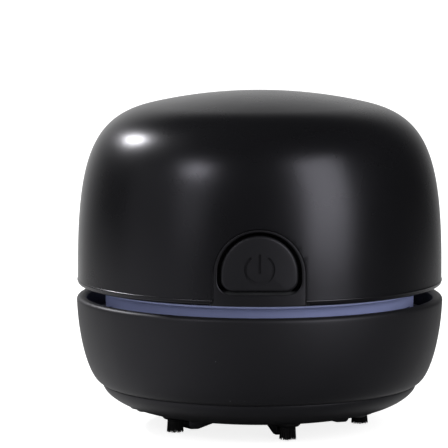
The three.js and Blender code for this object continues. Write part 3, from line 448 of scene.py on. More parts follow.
surface("cover_black", (14, 14, 16), 0.28, grain=0.006, grain_size=0.12, smudge=0.02, mottle_size=30,
        sheen=COOL)
surface("bowl_black", (20, 20, 22), 0.47, grain=0.012, grain_size=0.14, smudge=0.03, mottle_size=24,
        dust=0.5, sheen=COOL)
surface("bezel_black", (17, 17, 19), 0.42, grain=0.01, grain_size=0.14, smudge=0.03, sheen=COOL)
surface("button_black", (20, 20, 22), 0.45, grain=0.012, grain_size=0.14, smudge=0.03, sheen=COOL)
surface("ring_blue", (162, 171, 220), 0.38, grain=0.006, smudge=0.03, mottle=0.04)
surface("inner_grey", (58, 59, 62), 0.6, grain=0.02)
surface("rubber_black", (19, 19, 20), 0.8, grain=0.02)
surface("filter_felt", (159, 162, 165), 0.9, grain=0.12, grain_size=0.35, mottle=0.18, mottle_size=1.2)
surface("bristle_black", (16, 16, 17), 0.45, grain=0.004, mottle=0.35, mottle_size=1.0)
surface("fan_white", (217, 218, 219), 0.4, grain=0.008, mottle=0.03)
surface("motor_steel", (185, 187, 190), 0.3, metallic=1.0, grain=0.004, stretch=(1, 1, 12), smudge=0.04,
        wear=0.05)
surface("switch_black", (27, 27, 28), 0.5, grain=0.015)
surface("magnet_grey", (43, 42, 42), 0.7, grain=0.03, grain_size=0.3, wear=0.02)
surface("terminal_brass", (194, 161, 92), 0.35, metallic=1.0, grain=0.004, wear=0.05)
surface("contact_steel", (190, 192, 195), 0.28, metallic=1.0, grain=0.004, wear=0.05)
surface("cell_sleeve", (71, 82, 76), 0.38, grain=0.004, smudge=0.04)
surface("board_green", (31, 90, 58), 0.45, grain=0.01, mottle=0.12, mottle_size=2.0)
surface("lead_red", (157, 38, 32), 0.45, grain=0.006)
surface("lead_black", (22, 22, 22), 0.45, grain=0.006)
surface("screw_steel", (165, 167, 170), 0.33, metallic=1.0, grain=0.006, mottle=0.15, mottle_size=1.5)


def dressed(piece, slot, *nodes, body="power_head", smooth=40):
    """The piece shaded, with its material, riding on its body in place of its nodes."""
    piece.data.shade_smooth()
    piece.data.set_sharp_from_angle(angle=math.radians(smooth))
    piece.data.materials.clear()
    piece.data.materials.append(SURFACES[slot])
    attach(piece, body)
    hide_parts(*nodes)


# Camera, light and background

CAMERA_PLACE = (0.0, -0.750, 0.1314)
CAMERA_AIM = (-0.00828, 0.0, 0.04667)
CAMERA_LENS = 260.8
LIGHT_AIM = (0.0, 0.0, 0.045)
LAMP_DISTANCE = 1.0
AMBIENT = 0.012
PLAIN_LIGHT = 0.8
TABLE_RADIUS = 3000
TABLE_THICKNESS = 2
TABLE_GREY = 0.5
TABLE_GLOW = 0.84
# Size and grey of the disc of painted shadow under the object, which only mirror images show.
SHADE_RADIUS = 31.0
SHADE_GREY = 0.07


def aimed(thing, place, target):
    thing.location = place
    way = Vector(target) - Vector(place)
    thing.rotation_mode = "QUATERNION"
    thing.rotation_quaternion = way.to_track_quat("-Z", "Y")


def camera():
    lens = bpy.data.cameras.new("camera")
    lens.lens = CAMERA_LENS
    lens.sensor_width = 36
    lens.clip_start = 0.01
    lens.clip_end = 20
    made = linked("camera", lens)
    aimed(made, CAMERA_PLACE, CAMERA_AIM)
    bpy.context.scene.camera = made


def softbox(name, azimuth, elevation, width, height, radiance):
    """A rectangular lamp; the azimuth runs from the front towards plus X, in degrees."""
    turn, lift = math.radians(azimuth), math.radians(elevation)
    way = Vector((math.sin(turn) * math.cos(lift), -math.cos(turn) * math.cos(lift), math.sin(lift)))
    lamp = bpy.data.lights.new(name, "AREA")
    lamp.shape = "RECTANGLE"
    lamp.size, lamp.size_y = width, height
    lamp.energy = radiance * width * height * 4
    made = linked(name, lamp)
    made.visible_camera = False
    aimed(made, Vector(LIGHT_AIM) + way * LAMP_DISTANCE, LIGHT_AIM)


def studio():
    """White behind the object and dim in front of it, as a product table has."""
    world = bpy.data.worlds.new("studio")
    bpy.context.scene.world = world
    nodes = Nodes(world)
    way = nodes.add("TexCoord", {}, "Generated")
    height = nodes.add("SeparateXYZ", {"Vector": way}, "Z")
    camera_ray = nodes.add("LightPath", {}, "Is Camera Ray")
    rays = camera_ray.node.outputs

    def ramp(value, *limits):
        return nodes.ranged(value, *limits, interpolation_type="SMOOTHSTEP")

    behind = nodes.calculated("MAXIMUM", nodes.along(way, (-0.14, 0.99, 0.0)), 0.0)
    backdrop = nodes.calculated("POWER", behind, 6.0)
    wall = nodes.calculated("MULTIPLY", backdrop, ramp(height, 0.46, 0.68, 0.85, 0.0))
    side = ramp(nodes.along(way, (-0.68, 0.73, 0.0)), -0.75, 0.75, 0.06, 0.66)
    ground = nodes.calculated("MULTIPLY", ramp(height, -0.04, -0.22, 0.0, 1.0), side)
    under = nodes.calculated("MULTIPLY", ground, ramp(height, -0.96, -0.5, 0.2, 1.0))
    seen = nodes.calculated("ADD", nodes.calculated("MAXIMUM", wall, under), AMBIENT)

    mirrored = nodes.calculated("MAXIMUM", rays["Is Glossy Ray"], rays["Is Transmission Ray"])
    plain = nodes.calculated("SUBTRACT", 1.0, nodes.calculated("MAXIMUM", mirrored, camera_ray))
    strength = nodes.calculated("ADD", nodes.calculated("MULTIPLY", mirrored, seen), camera_ray)
    strength = nodes.calculated("ADD", strength, nodes.calculated("MULTIPLY", plain, PLAIN_LIGHT))
    nodes.feed(nodes.tree.nodes["Background"], {"Color": (1, 1, 1, 1), "Strength": strength})


def dull(thing, name, grey):
    """Gives a piece of the stage a dull grey, and returns its nodes and its shader."""
    material = bpy.data.materials.new(name)
    nodes = Nodes(material)
    shader = nodes.tree.nodes["Principled BSDF"]
    nodes.feed(shader, {"Base Color": (grey, grey, grey, 1), "Roughness": 0.9})
    thing.data.materials.append(material)
    return nodes, shader


def table():
    """A pale round table top that keeps the object's shadow."""
    under = -TABLE_THICKNESS
    top = turned("table_top", [(0, under), (TABLE_RADIUS, under), (TABLE_RADIUS, 0), (0, 0)])
    nodes, shader = dull(top, "table_white", TABLE_GREY)
    glow = nodes.calculated("MULTIPLY", nodes.add("LightPath", {}, "Is Camera Ray"), TABLE_GLOW)
    nodes.feed(shader, {"Emission Color": (1, 1, 1, 1), "Emission Strength": glow})
    top.visible_glossy = False


def shade():
    """Painted shadow: a dark disc under the object that only mirror rays see, standing in for the table's
    shaded patch in the mirror image of the object's base.
    """
    patch = rod("table_shade", SHADE_RADIUS, -1.5, -0.5, 0.3, INNER_SIDES)
    dull(patch, "table_shaded", SHADE_GREY)
    patch.visible_camera = False
    patch.visible_diffuse = False
    patch.visible_shadow = False


camera()
studio()
table()
shade()
softbox("strip_right", 43, 19, 0.50, 0.86, 2.85)
softbox("spot_left_back", -120.3, 34.9, 0.085, 0.09, 185)
softbox("spot_left_front", -45, 30.5, 0.25, 0.15, 8.0)
softbox("glow_left_front", -43, 12, 0.34, 0.45, 0.45)
softbox("wide_left", -66, 9, 0.95, 0.6, 0.14)


# Sizes that more than one piece takes from the frame

CHASSIS_RADIUS, CHASSIS_BOTTOM, _ = span("motor_chassis")
CHASSIS_TOP = CHASSIS_BOTTOM + 2.0
SEAT = CHASSIS_TOP + GAP
SEAM = 0.07
SCREW_HOLE = 1.1

# Cover

COVER_RADIUS, COVER_BOTTOM, COVER_TOP = span("top_cover")
COVER_WALL = 2.0
COVER_INNER = COVER_RADIUS - COVER_WALL
COVER_LIP = 0.2
COVER_EDGE = 1.6
COVER_EDGE_RISE = 0.8
COVER_BEAD = 0.36
COVER_BEAD_RISE = 1.2
COVER_STRAIGHT = 3.6
COVER_SIDE_SHARE = 0.69
COVER_SHOULDER_SHARE = 0.775
SHOULDER_RADIUS = COVER_RADIUS - 16.6
SHOULDER_DROP = 2.95
COVER_RIB_HALF = 0.8
COVER_RIB_REACH = 1.7
COVER_RIB_HEIGHT = 8
NOTCH_CORNER = 0.7
NOTCH_DROP = 2
ARCH_HALF = 9.95
ARCH_CENTRE = COVER_BOTTOM + 7.0
ARCH_STEPS = 40
SIDE_STEPS = 12
FLARE_LEAD = 1.5
FLARE_STEPS = 5
EDGE_ROUND = 0.14


def cover_skin(side_steps, crown_steps):
    """The outer face of the cover, from the end of its straight foot to the crown."""
    shoulder = COVER_TOP - SHOULDER_DROP
    crown = (SHOULDER_RADIUS ** 2 + SHOULDER_DROP ** 2) / (2 * SHOULDER_DROP)
    slope = SHOULDER_RADIUS / (crown - SHOULDER_DROP)
    start = COVER_BOTTOM + COVER_STRAIGHT
    reach = (COVER_RADIUS - SHOULDER_RADIUS) * COVER_SHOULDER_SHARE
    side = bezier([
        (COVER_RADIUS, start),
        (COVER_RADIUS, start + (shoulder - start) * COVER_SIDE_SHARE),
        (SHOULDER_RADIUS + reach, shoulder - reach * slope),
        (SHOULDER_RADIUS, shoulder),
    ], side_steps)
    for i in range(1, crown_steps + 1):
        r = SHOULDER_RADIUS * (1 - i / crown_steps)
        side.append((r, COVER_TOP - crown + math.sqrt(crown ** 2 - r ** 2)))
    return side


FACE = cover_skin(48, 2)


def face_radius(z):
    """The radius of the cover's outer face at a height."""
    for (r0, z0), (r1, z1) in zip(FACE, FACE[1:]):
        if z0 <= z <= z1:
            return r0 + (r1 - r0) * (z - z0) / (z1 - z0)
    return COVER_RADIUS


def plain_radius(z):
    """The surround doesn't follow the dome: its face has one radius."""
    return COVER_RADIUS


def arch(half, bottom):
    """The sides and the top of the arch as X and Z, from its lower left corner."""
    left = [(-half, bottom + (ARCH_CENTRE - bottom) * i / SIDE_STEPS) for i in range(SIDE_STEPS)]
    top = arc((0, ARCH_CENTRE), half, 180, 0, ARCH_STEPS)
    return left + top + [(half, z) for _, z in reversed(left)]


def sill(half, bottom):
    """The points between the lower right and the lower left corner."""
    return [(half - 2 * half * i / SIDE_STEPS, bottom) for i in range(1, SIDE_STEPS)]


def arch_outline(half, bottom):
    return arch(half, bottom) + sill(half, bottom)


def notch_outline(grown):
    """The arch of the notch, which widens at the foot where its corners are rounded."""
    half = ARCH_HALF + GAP + grown
    wide = half + NOTCH_CORNER
    corner = COVER_BOTTOM + COVER_BEAD_RISE - COVER_BEAD + NOTCH_CORNER
    bottom = COVER_BOTTOM - NOTCH_DROP
    left = [(-wide, bottom), *arc((-wide, corner), NOTCH_CORNER, -90, 0, 6)[:-1]]
    return left + arch(half, corner) + [(-x, z) for x, z in reversed(left)] + sill(wide, bottom)


def flared(name, outline_at, edge, back, radius_at, draft=0.0):
    """A tool for an opening square to the front, its outer edge rounded over. The draft lowers its sill."""
    def ring(grown, depth):
        return [(x, -math.sqrt(radius_at(z) ** 2 - x ** 2) + depth, z) for x, z in outline_at(grown)]

    rings = [ring(edge, -FLARE_LEAD)]
    rings += [ring(grown, depth) for grown, depth in rounding(edge, FLARE_STEPS)]
    rings.append([(x, back, z - draft * max(ARCH_CENTRE - z, 0)) for x, z in outline_at(0)])
    return loft(name, rings)


def top_cover():
    inside = beside(cover_skin(24, 8), COVER_WALL)
    apex = inside.pop()
    foot = arc((COVER_RADIUS - COVER_EDGE, 0), COVER_EDGE, 270, 345, 10)
    bead_centre = (COVER_RADIUS - COVER_BEAD * 0.6, COVER_BOTTOM + COVER_BEAD_RISE)
    outline = [
        (COVER_INNER + COVER_LIP, COVER_BOTTOM),
        *((r, COVER_BOTTOM + COVER_EDGE_RISE * (1 + z / COVER_EDGE)) for r, z in foot),
        *arc(bead_centre, COVER_BEAD, -60, 53, 10),
        (COVER_RADIUS, COVER_BOTTOM + COVER_BEAD_RISE + COVER_BEAD),
        (COVER_RADIUS, COVER_BOTTOM + (COVER_BEAD_RISE + COVER_STRAIGHT) / 2),
        *cover_skin(56, 28),
        (0, apex[1]),
        *reversed(inside),
        (COVER_INNER, COVER_BOTTOM + COVER_LIP),
    ]
    shell = turned("cover_shell", outline, SHELL_SIDES)
    rib_low = (-COVER_RIB_HALF, -COVER_INNER - OVERRUN, SEAT)
    rib_high = (COVER_RIB_HALF, COVER_RIB_REACH - COVER_INNER, SEAT + COVER_RIB_HEIGHT)
    ribs = [placed(block("rib", rib_low, rib_high, 0.3), turn=angle) for angle in range(30, 360, 60)]
    joined(shell, ribs)
    cut(shell, [flared("notch", notch_outline, EDGE_ROUND, -COVER_INNER / 2, face_radius)])
    dressed(shell, "cover_black", "top_cover", body="top_cover")


top_cover()

# Button and its surround

bezel_low, bezel_high = box("switch_bezel")
BUTTON_FACE = -box("power_button")[0].y
BUTTON_HALF = 8.55
BUTTON_BOTTOM = 36.35
BUTTON_CENTRE = ARCH_CENTRE + 0.3
BUTTON_CORNER = 2.7
BUTTON_ROUND = 0.6
BUTTON_FLANGE = 1.3
STOP_FRONT = 5.6 - BUTTON_FACE
STEM = 2.6
STEM_LENGTH = 4.8
GROOVE = 0.8
GROOVE_DRAFT = 0.75
GROOVE_ROUND = 0.35
GROOVE_BACK = -30
BEZEL_HALF = ARCH_HALF + GAP - SEAM
BEZEL_BACK = 38.3
BEZEL_INSIDE = -34.0
BEZEL_FLANGE = 0.9
BEZEL_FLANGE_WIDTH = 2.2
BEZEL_ROUND = 0.12
EAR_HALF = 3
EAR_HEIGHT = 1.5
SWITCH_AXIS = 42.7
MARK_CENTRE = 41.3
MARK_RADIUS = 3.15
MARK_HALF = 0.3
MARK_OPENING = 36
MARK_DEPTH = 0.35
MARK_BAR = (-0.9, 3.35)
MARK_STEPS = 40


def button_outline(grown, bottom, centre=BUTTON_CENTRE):
    """A half circle over a bottom edge with round corners, as X and Z."""
    half = BUTTON_HALF + grown
    corner = BUTTON_CORNER + grown / 2
    points = arc((0, centre), half, 180, 0, ARCH_STEPS)
    for place, start in ((half - corner, 0), (corner - half, -90)):
        points += arc((place, bottom + corner), corner, start, start - 90, 8)
    return points


def along_face(outline, radius, depth=0.0):
    return [(x, -math.sqrt(radius ** 2 - x ** 2) + depth, z) for x, z in outline]


def domed(name, outline_at, back, radius, rim, steps, centre):
    """A block with a round front and a rounded rim, its front closed towards its centre."""
    rings = [[(x, back, z) for x, z in outline_at(0)]]
    for depth, sunk in rounding(rim, steps):
        outline = outline_at(sunk)
        rings.append(along_face(outline, radius, depth))
    for share in (0.9, 0.75, 0.6, 0.45, 0.3, 0.15):
        smaller = [(x * share, centre + (z - centre) * share) for x, z in outline]
        rings.append(along_face(smaller, radius))
    return loft(name, rings, last_tip=(0, -radius, centre))


def ears():
    """The two lugs that hold the surround down on the chassis."""
    made = []
    for node in ("bezel_screw_left", "bezel_screw_right"):
        x, y = middle(node)
        front = (x - EAR_HALF, 0.6 - BEZEL_BACK, SEAT)
        ear = block("ear", front, (x + EAR_HALF, bezel_high.y, SEAT + EAR_HEIGHT), 0.4)
        inside = rod("inside", BEZEL_BACK + BEZEL_FLANGE / 2, 0, COVER_TOP, 0.1, SHELL_SIDES)
        combined(ear, [inside], "INTERSECT")
        made.append(cut(ear, [peg((x, y), SCREW_HOLE, SEAT - OVERRUN, SEAT + 2 * EAR_HEIGHT)]))
    return made


def switch_bezel():
    bottom = bezel_low.z
    face = domed("switch_surround", lambda sunk: arch_outline(BEZEL_HALF - sunk, bottom + sunk),
                 BEZEL_INSIDE, COVER_RADIUS, BEZEL_ROUND, 5, (bottom + ARCH_CENTRE) / 2)
    behind = rod("behind", BEZEL_BACK, 0, COVER_TOP, 0.1, SHELL_SIDES)
    room = rod("room", CHASSIS_RADIUS + GAP, 0, SEAT, 0.01, SHELL_SIDES)
    cut(face, [behind, room])
    outline = arch_outline(ARCH_HALF + BEZEL_FLANGE_WIDTH, SEAT)
    flange = loft("flange", [along_face(outline, BEZEL_BACK + depth) for depth in (0, BEZEL_FLANGE)])
    opening = flared("opening", lambda grown: button_outline(GROOVE + grown, SEAT - grown), GROOVE_ROUND,
                     GROOVE_BACK, plain_radius, GROOVE_DRAFT)
    joined(face, [flange])
    cut(face, [opening])
    joined(face, ears())
    dressed(face, "bezel_black", "switch_bezel")


def power_mark():
    """A plain power sign to sink into the button: an open ring and a short bar."""
    floor, front = BUTTON_FACE - MARK_DEPTH, -BUTTON_FACE - OVERRUN
    rings = []
    for i in range(MARK_STEPS + 1):
        angle = math.radians(90 + MARK_OPENING + (360 - 2 * MARK_OPENING) * i / MARK_STEPS)
        (x0, z0), (x1, z1) = ((radius * math.cos(angle), MARK_CENTRE + radius * math.sin(angle))
                              for radius in (MARK_RADIUS + MARK_HALF, MARK_RADIUS - MARK_HALF))
        deep = along_face([(x0, z0), (x1, z1)], floor)
        rings.append([deep[0], (x0, front, z0), (x1, front, z1), deep[1]])
    low, high = (MARK_CENTRE + end for end in MARK_BAR)
    sides = rectangle(-MARK_HALF, low, MARK_HALF, high)
    bar = loft("mark_bar", [[(x, y, z) for x, z in sides] for y in (-floor, front)])
    return [loft("mark_ring", rings), bar]


def power_button():
    cap = domed("button_cap", lambda sunk: button_outline(-sunk, BUTTON_BOTTOM + sunk),
                STOP_FRONT + 0.5, BUTTON_FACE, BUTTON_ROUND, 8,
                (BUTTON_BOTTOM + ARCH_CENTRE + BUTTON_HALF) / 2)
    outline = button_outline(BUTTON_FLANGE, CHASSIS_TOP + 2 * GAP, ARCH_CENTRE)[::-1]
    stop = slab("stop", [(x, z, 0) for x, z in outline], STOP_FRONT, STOP_FRONT + 1, 0.2, place=facing)
    stem = peg_along_y((0, SWITCH_AXIS), STEM, STOP_FRONT + 0.5, STOP_FRONT + STEM_LENGTH, 0.3)
    joined(cap, [stop, stem])
    cut(cap, power_mark())
    dressed(cap, "button_black", "power_button", body="power_button")


def switch_plunger():
    low, high = box("switch_plunger")
    pin = rod("plunger_pin", 1.5, -high.y, -low.y - 0.2, 0.25)
    pad = rod("plunger_pad", STEM, -low.y - 0.75, -low.y, 0.2)
    joined(pin, [pad])
    placed(placed(pin, turn=90, axis="X"), (0, 0, SWITCH_AXIS))
    dressed(pin, "fan_white", "switch_plunger", body="power_button")


switch_bezel()
power_button()
switch_plunger()

# Lower bowl

BOWL_RADIUS, BOWL_BOTTOM, BOWL_TOP = span("lower_bowl")
BOWL_FOOT = BOWL_RADIUS - 5.65
BOWL_MOUTH = BOWL_FOOT - 3.4
BOWL_WALL = 2.0
BOWL_FLOOR = 1.4
BOWL_RIM = 2.3
BOWL_RIM_ROUND = 1.0
BOWL_FOOT_ROUND = 0.15
BOWL_FOOT_PULL = (2.76, 0.86)
BOWL_SIDE_PULL = (0.31, 0.49)


def lower_bowl():
    rim_bottom = BOWL_TOP - BOWL_RIM_ROUND
    side = bezier([
        (BOWL_FOOT, BOWL_BOTTOM + BOWL_FOOT_ROUND),
        (BOWL_FOOT + BOWL_FOOT_PULL[0], BOWL_BOTTOM + BOWL_FOOT_PULL[1]),
        (BOWL_RADIUS - BOWL_SIDE_PULL[0], rim_bottom - (rim_bottom - BOWL_BOTTOM) * BOWL_SIDE_PULL[1]),
        (BOWL_RADIUS, rim_bottom),
    ], 48)
    rim_inner = BOWL_RADIUS - BOWL_RIM
    floor_top = BOWL_BOTTOM + BOWL_FLOOR
    inside = [p for p in beside(side, BOWL_WALL) if floor_top + 2 * GAP < p[1] < rim_bottom - BOWL_RIM]
    outline = [
        (BOWL_MOUTH, BOWL_BOTTOM),
        (BOWL_FOOT - BOWL_FOOT_ROUND, BOWL_BOTTOM),
        *side,
        *arc((BOWL_RADIUS - BOWL_RIM_ROUND, rim_bottom), BOWL_RIM_ROUND, 8, 90, 12),
        *arc((rim_inner + BOWL_RIM_ROUND, rim_bottom), BOWL_RIM_ROUND, 90, 180, 12),
        *reversed(inside),
        (BOWL_FOOT - BOWL_WALL / 2, floor_top),
        (BOWL_MOUTH, floor_top),
    ]
    dressed(turned("bowl_shell", outline, SHELL_SIDES), "bowl_black", "lower_bowl", body="dust_bowl")


lower_bowl()

# Suction base

BASE_RADIUS, RIB_FOOT, _ = span("suction_base")
BASE_BOTTOM = RIB_FOOT + 3.0
BASE_UNDER = BASE_BOTTOM - OVERRUN
BASE_TOP = BOWL_BOTTOM - SEAM
BASE_FLAT = BASE_RADIUS - 12.1
BASE_SKIN = 1.8
BASE_EDGE = 0.12
BASE_FULLNESS = 1.7
TUBE_TOP = BOWL_BOTTOM + BOWL_FLOOR
MOUTH = 10.0
MOUTH_ROUND = 1.8
MOUTH_WALL = 1.4
SPIGOT = BOWL_MOUTH - GAP
SPIGOT_INNER = SPIGOT - 1.4
SCREW_PLACES = [around(SPIGOT_INNER - 3.3, angle) for angle in (52, 172, 292)]
TUFT_CIRCLE = BASE_FLAT - 1.1
TUFT_ANGLES = [16 + 72 * i for i in range(5)]
LONE_TUFTS = (("front", 0), ("right", 1), ("left", 4))
REAR_TUFTS = (2, 3)
BACKING = 2.2
BACKING_THICKNESS = 0.8
POCKET_TOP = BASE_BOTTOM + 1.1
RIB_START = MOUTH + MOUTH_ROUND + GAP
RIB_END = TUFT_CIRCLE - BACKING - 2 * GAP
RIB_HALF = 2
BOSS = 2.2
BOSS_RECESS = 2.6
RECESS_FLARE = 0.35


def dish(flat, bottom, edge, top, steps):
    """The full curve from a flat underside out and up to an edge."""
    points = []
    for i in range(steps + 1):
        share = math.sin(math.pi / 2 * i / steps)
        rise = 1 - (1 - share ** BASE_FULLNESS) ** (1 / BASE_FULLNESS)
        points.append((flat + (edge - flat) * share, bottom + (top - bottom) * rise))
    return points


def radial_rib():
    root = BASE_BOTTOM + BASE_SKIN / 2
    side = [
        (RIB_START, root, 0), (RIB_START, BASE_BOTTOM - 1.5, 0.5), (RIB_END - 2.4, RIB_FOOT, 0.6),
        (RIB_END, RIB_FOOT, 0.7), (RIB_END, root, 0),
    ]
    return slab("rib", side, -RIB_HALF, RIB_HALF, 0.3, steps=5, place=sideways)


def rear_sector(name, half_width, bottom, top, edge):
    """A stretch that the two rear tufts share, with round ends."""
    angles = [TUFT_ANGLES[index] for index in REAR_TUFTS]
    inner, outer = TUFT_CIRCLE - half_width, TUFT_CIRCLE + half_width
    straight = sector(name, inner, outer, bottom, top, *angles, edge, 24)
    ends = [peg(around(TUFT_CIRCLE, angle), half_width, bottom, top, edge) for angle in angles]
    return joined(straight, ends)


def suction_base():
    skin_top = BASE_BOTTOM + BASE_SKIN
    outline = [
        *arc((MOUTH + MOUTH_ROUND, BASE_BOTTOM + MOUTH_ROUND), MOUTH_ROUND, 180, 270, 10),
        *dish(BASE_FLAT, BASE_BOTTOM, BASE_RADIUS, BASE_TOP - BASE_EDGE, 32),
        *arc((BASE_RADIUS - BASE_EDGE, BASE_TOP - BASE_EDGE), BASE_EDGE, 15, 90, 5),
        (SPIGOT, BASE_TOP), (SPIGOT, TUBE_TOP), (SPIGOT_INNER, TUBE_TOP),
        *reversed(dish(BASE_FLAT - BASE_EDGE, skin_top, SPIGOT_INNER, BASE_TOP, 10)),
        (MOUTH + MOUTH_WALL, skin_top), (MOUTH + MOUTH_WALL, TUBE_TOP), (MOUTH, TUBE_TOP),
    ]
    shell = turned("base_shell", outline, SHELL_SIDES)
    added = [placed(radial_rib(), turn=angle) for angle in TUFT_ANGLES]
    removed = []
    wide, seat = BOSS + RECESS_FLARE, BASE_BOTTOM + BOSS_RECESS
    recess = rounded([(0, BASE_UNDER, 0), (wide, BASE_UNDER), (wide, BASE_BOTTOM, 0.3),
                      (BOSS, BASE_BOTTOM + 0.45), (BOSS, seat), (0, seat, 0)], 0.15, 3)
    for place in SCREW_PLACES:
        added.append(peg(place, BOSS + 2 * GAP, skin_top + GAP, TUBE_TOP))
        removed.append(peg(place, SCREW_HOLE, BASE_BOTTOM, TUBE_TOP + OVERRUN))
        removed.append(placed(turned("recess", recess, SMALL_SIDES), (*place, 0)))
    for _, index in LONE_TUFTS:
        place = around(TUFT_CIRCLE, TUFT_ANGLES[index])
        removed.append(peg(place, BACKING + GAP, BASE_UNDER, POCKET_TOP))
    removed.append(rear_sector("rear_pocket", BACKING + GAP, BASE_UNDER, POCKET_TOP, 0.15))
    dressed(cut(joined(shell, added), removed), "bowl_black", "suction_base", body="dust_bowl")


suction_base()

# Bristle tufts

STRANDS = 160
STRAND = 0.075
STRAND_TIP_SHARE = 0.6
STRAND_SIDES = 5
STRAND_STEPS = 5
STRAND_LEAN = 0.12
STRAND_UNEVEN = 0.18
TUFT_RADIUS = 1.75
TUFT_SPREAD = 0.2
GOLDEN_TURN = math.pi * (3 - math.sqrt(5))
BACKING_TOP = POCKET_TOP - GAP
BACKING_BOTTOM = BACKING_TOP - BACKING_THICKNESS


def strand(chance, centre, share, angle):
    """One fine strand as rings along a slight bend, from its root to its tip."""
    lean = [chance.uniform(-STRAND_LEAN, STRAND_LEAN) for _ in "xy"]
    tip = chance.uniform(0.0, STRAND_UNEVEN)
    root = BACKING_BOTTOM + BACKING_THICKNESS / 2
    rings = []
    for step in range(STRAND_STEPS):
        t = step / (STRAND_STEPS - 1)
        reach = (TUFT_RADIUS + TUFT_SPREAD * t * t) * share
        x = centre[0] + reach * math.cos(angle) + lean[0] * t * t
        y = centre[1] + reach * math.sin(angle) + lean[1] * t * t
        thick = STRAND * (STRAND_TIP_SHARE if t == 1 else 1.0)
        turns = [2 * math.pi * k / STRAND_SIDES for k in range(STRAND_SIDES)]
        rings.append([(x + thick * math.cos(turn), y + thick * math.sin(turn), root + (tip - root) * t)
                      for turn in turns])
    return rings


def tuft(name, node, indexes, backing):
    """Strands in their backing, at one or more places of the ring of tufts."""
    chance = random.Random(name)
    points, faces = [], []
    for index in indexes:
        centre = around(TUFT_CIRCLE, TUFT_ANGLES[index])
        for i in range(STRANDS):
            start = len(points)
            for ring in strand(chance, centre, math.sqrt((i + 0.5) / STRANDS), i * GOLDEN_TURN):
                points += ring
            for a in range(start, len(points) - STRAND_SIDES):
                b = a + 1 if (a - start + 1) % STRAND_SIDES else a + 1 - STRAND_SIDES
                faces.append((a, b, b + STRAND_SIDES, a + STRAND_SIDES))
            for end in (start, len(points) - STRAND_SIDES):
                faces.append([end + k for k in range(STRAND_SIDES)])
    bristles = mesh_object("bristles", points, faces)
    dressed(gathered(name, [bristles, backing]), "bristle_black", node, body="dust_bowl", smooth=60)


def tufts():
    for side, index in LONE_TUFTS:
        place = around(TUFT_CIRCLE, TUFT_ANGLES[index])
        backing = peg(place, BACKING, BACKING_BOTTOM, BACKING_TOP, 0.2)
        tuft("tuft_" + side, "brush_tuft_" + side, [index], backing)
    backing = rear_sector("backing", BACKING, BACKING_BOTTOM, BACKING_TOP, 0.2)
    tuft("tufts_rear", "brush_tufts_rear", REAR_TUFTS, backing)


tufts()

# Dust cup and seal

COLLAR, CUP_BOTTOM, COLLAR_TOP = span("dust_cup")
CUP_WALL = 1.4
CUP_FLOOR = CUP_BOTTOM + CUP_WALL
CUP_TOP = CUP_BOTTOM + 8.2
CUP_FLANGE = 1.3
CUP_RADIUS = BOWL_MOUTH + 1.1
CUP_INNER = CUP_RADIUS - CUP_WALL
CUP_BOSS_TOP = CUP_FLOOR + 3.6
DUCT = MOUTH + 1.2
DUCT_TOP = CUP_FLOOR + 1.9
COLLAR_INNER = COLLAR - 1.0
HOOK = 1.3
HOOK_LEAD = 10
HOOK_SPAN = 24
STOP_SPAN = 3
LUG_ANGLES = (0, 120, 240)
RING_RADIUS, SEAL_BOTTOM, SEAL_TOP = span("seal_ring")
SEAL_LIP = 0.5


def dust_cup():
    step = CUP_TOP - CUP_FLANGE
    corners = [
        (MOUTH, CUP_BOTTOM), (CUP_RADIUS, CUP_BOTTOM, 0.4), (CUP_RADIUS, step), (COLLAR, step),
        (COLLAR, COLLAR_TOP), (COLLAR_INNER, COLLAR_TOP), (COLLAR_INNER, CUP_TOP, 0.1),
        (CUP_INNER, CUP_TOP), (CUP_INNER, CUP_FLOOR, 0.8), (DUCT, CUP_FLOOR, 0.4), (DUCT, DUCT_TOP),
        (MOUTH, DUCT_TOP),
    ]
    shell = turned("cup_shell", rounded(corners, 0.2, 4), SHELL_SIDES)
    added, removed = [], []
    inner, outer = RING_RADIUS + GAP, COLLAR_INNER + 0.5
    for lug in LUG_ANGLES:
        start = lug + HOOK_LEAD
        stop = start + HOOK_SPAN
        end = stop + STOP_SPAN
        added.append(sector("hook", inner, outer, COLLAR_TOP - HOOK, COLLAR_TOP, start, end))
        added.append(sector("stop", inner, outer, CUP_TOP - CUP_FLANGE / 2, COLLAR_TOP - 0.1, stop, end,
                            steps=4))
    for place in SCREW_PLACES:
        added.append(peg(place, BOSS, CUP_BOTTOM + CUP_WALL / 2, CUP_BOSS_TOP, 0.3))
        removed.append(peg(place, SCREW_HOLE, CUP_BOTTOM - OVERRUN, CUP_BOSS_TOP - 0.7))
    dressed(cut(joined(shell, added), removed), "inner_grey", "dust_cup", body="dust_bowl")


def seal_ring():
    inner, shoulder = CUP_INNER + GAP, SEAL_TOP - SEAL_LIP
    corners = [(inner, SEAL_BOTTOM), (RING_RADIUS, SEAL_BOTTOM), (RING_RADIUS, shoulder),
               (inner + SEAL_LIP * 2, SEAL_TOP), (inner, shoulder)]
    seal = turned("seal_band", rounded(corners, 0.18, 4), SHELL_SIDES)
    dressed(seal, "rubber_black", "seal_ring", body="seal")


dust_cup()
seal_ring()

# Exhaust ring, inlet plate and filter

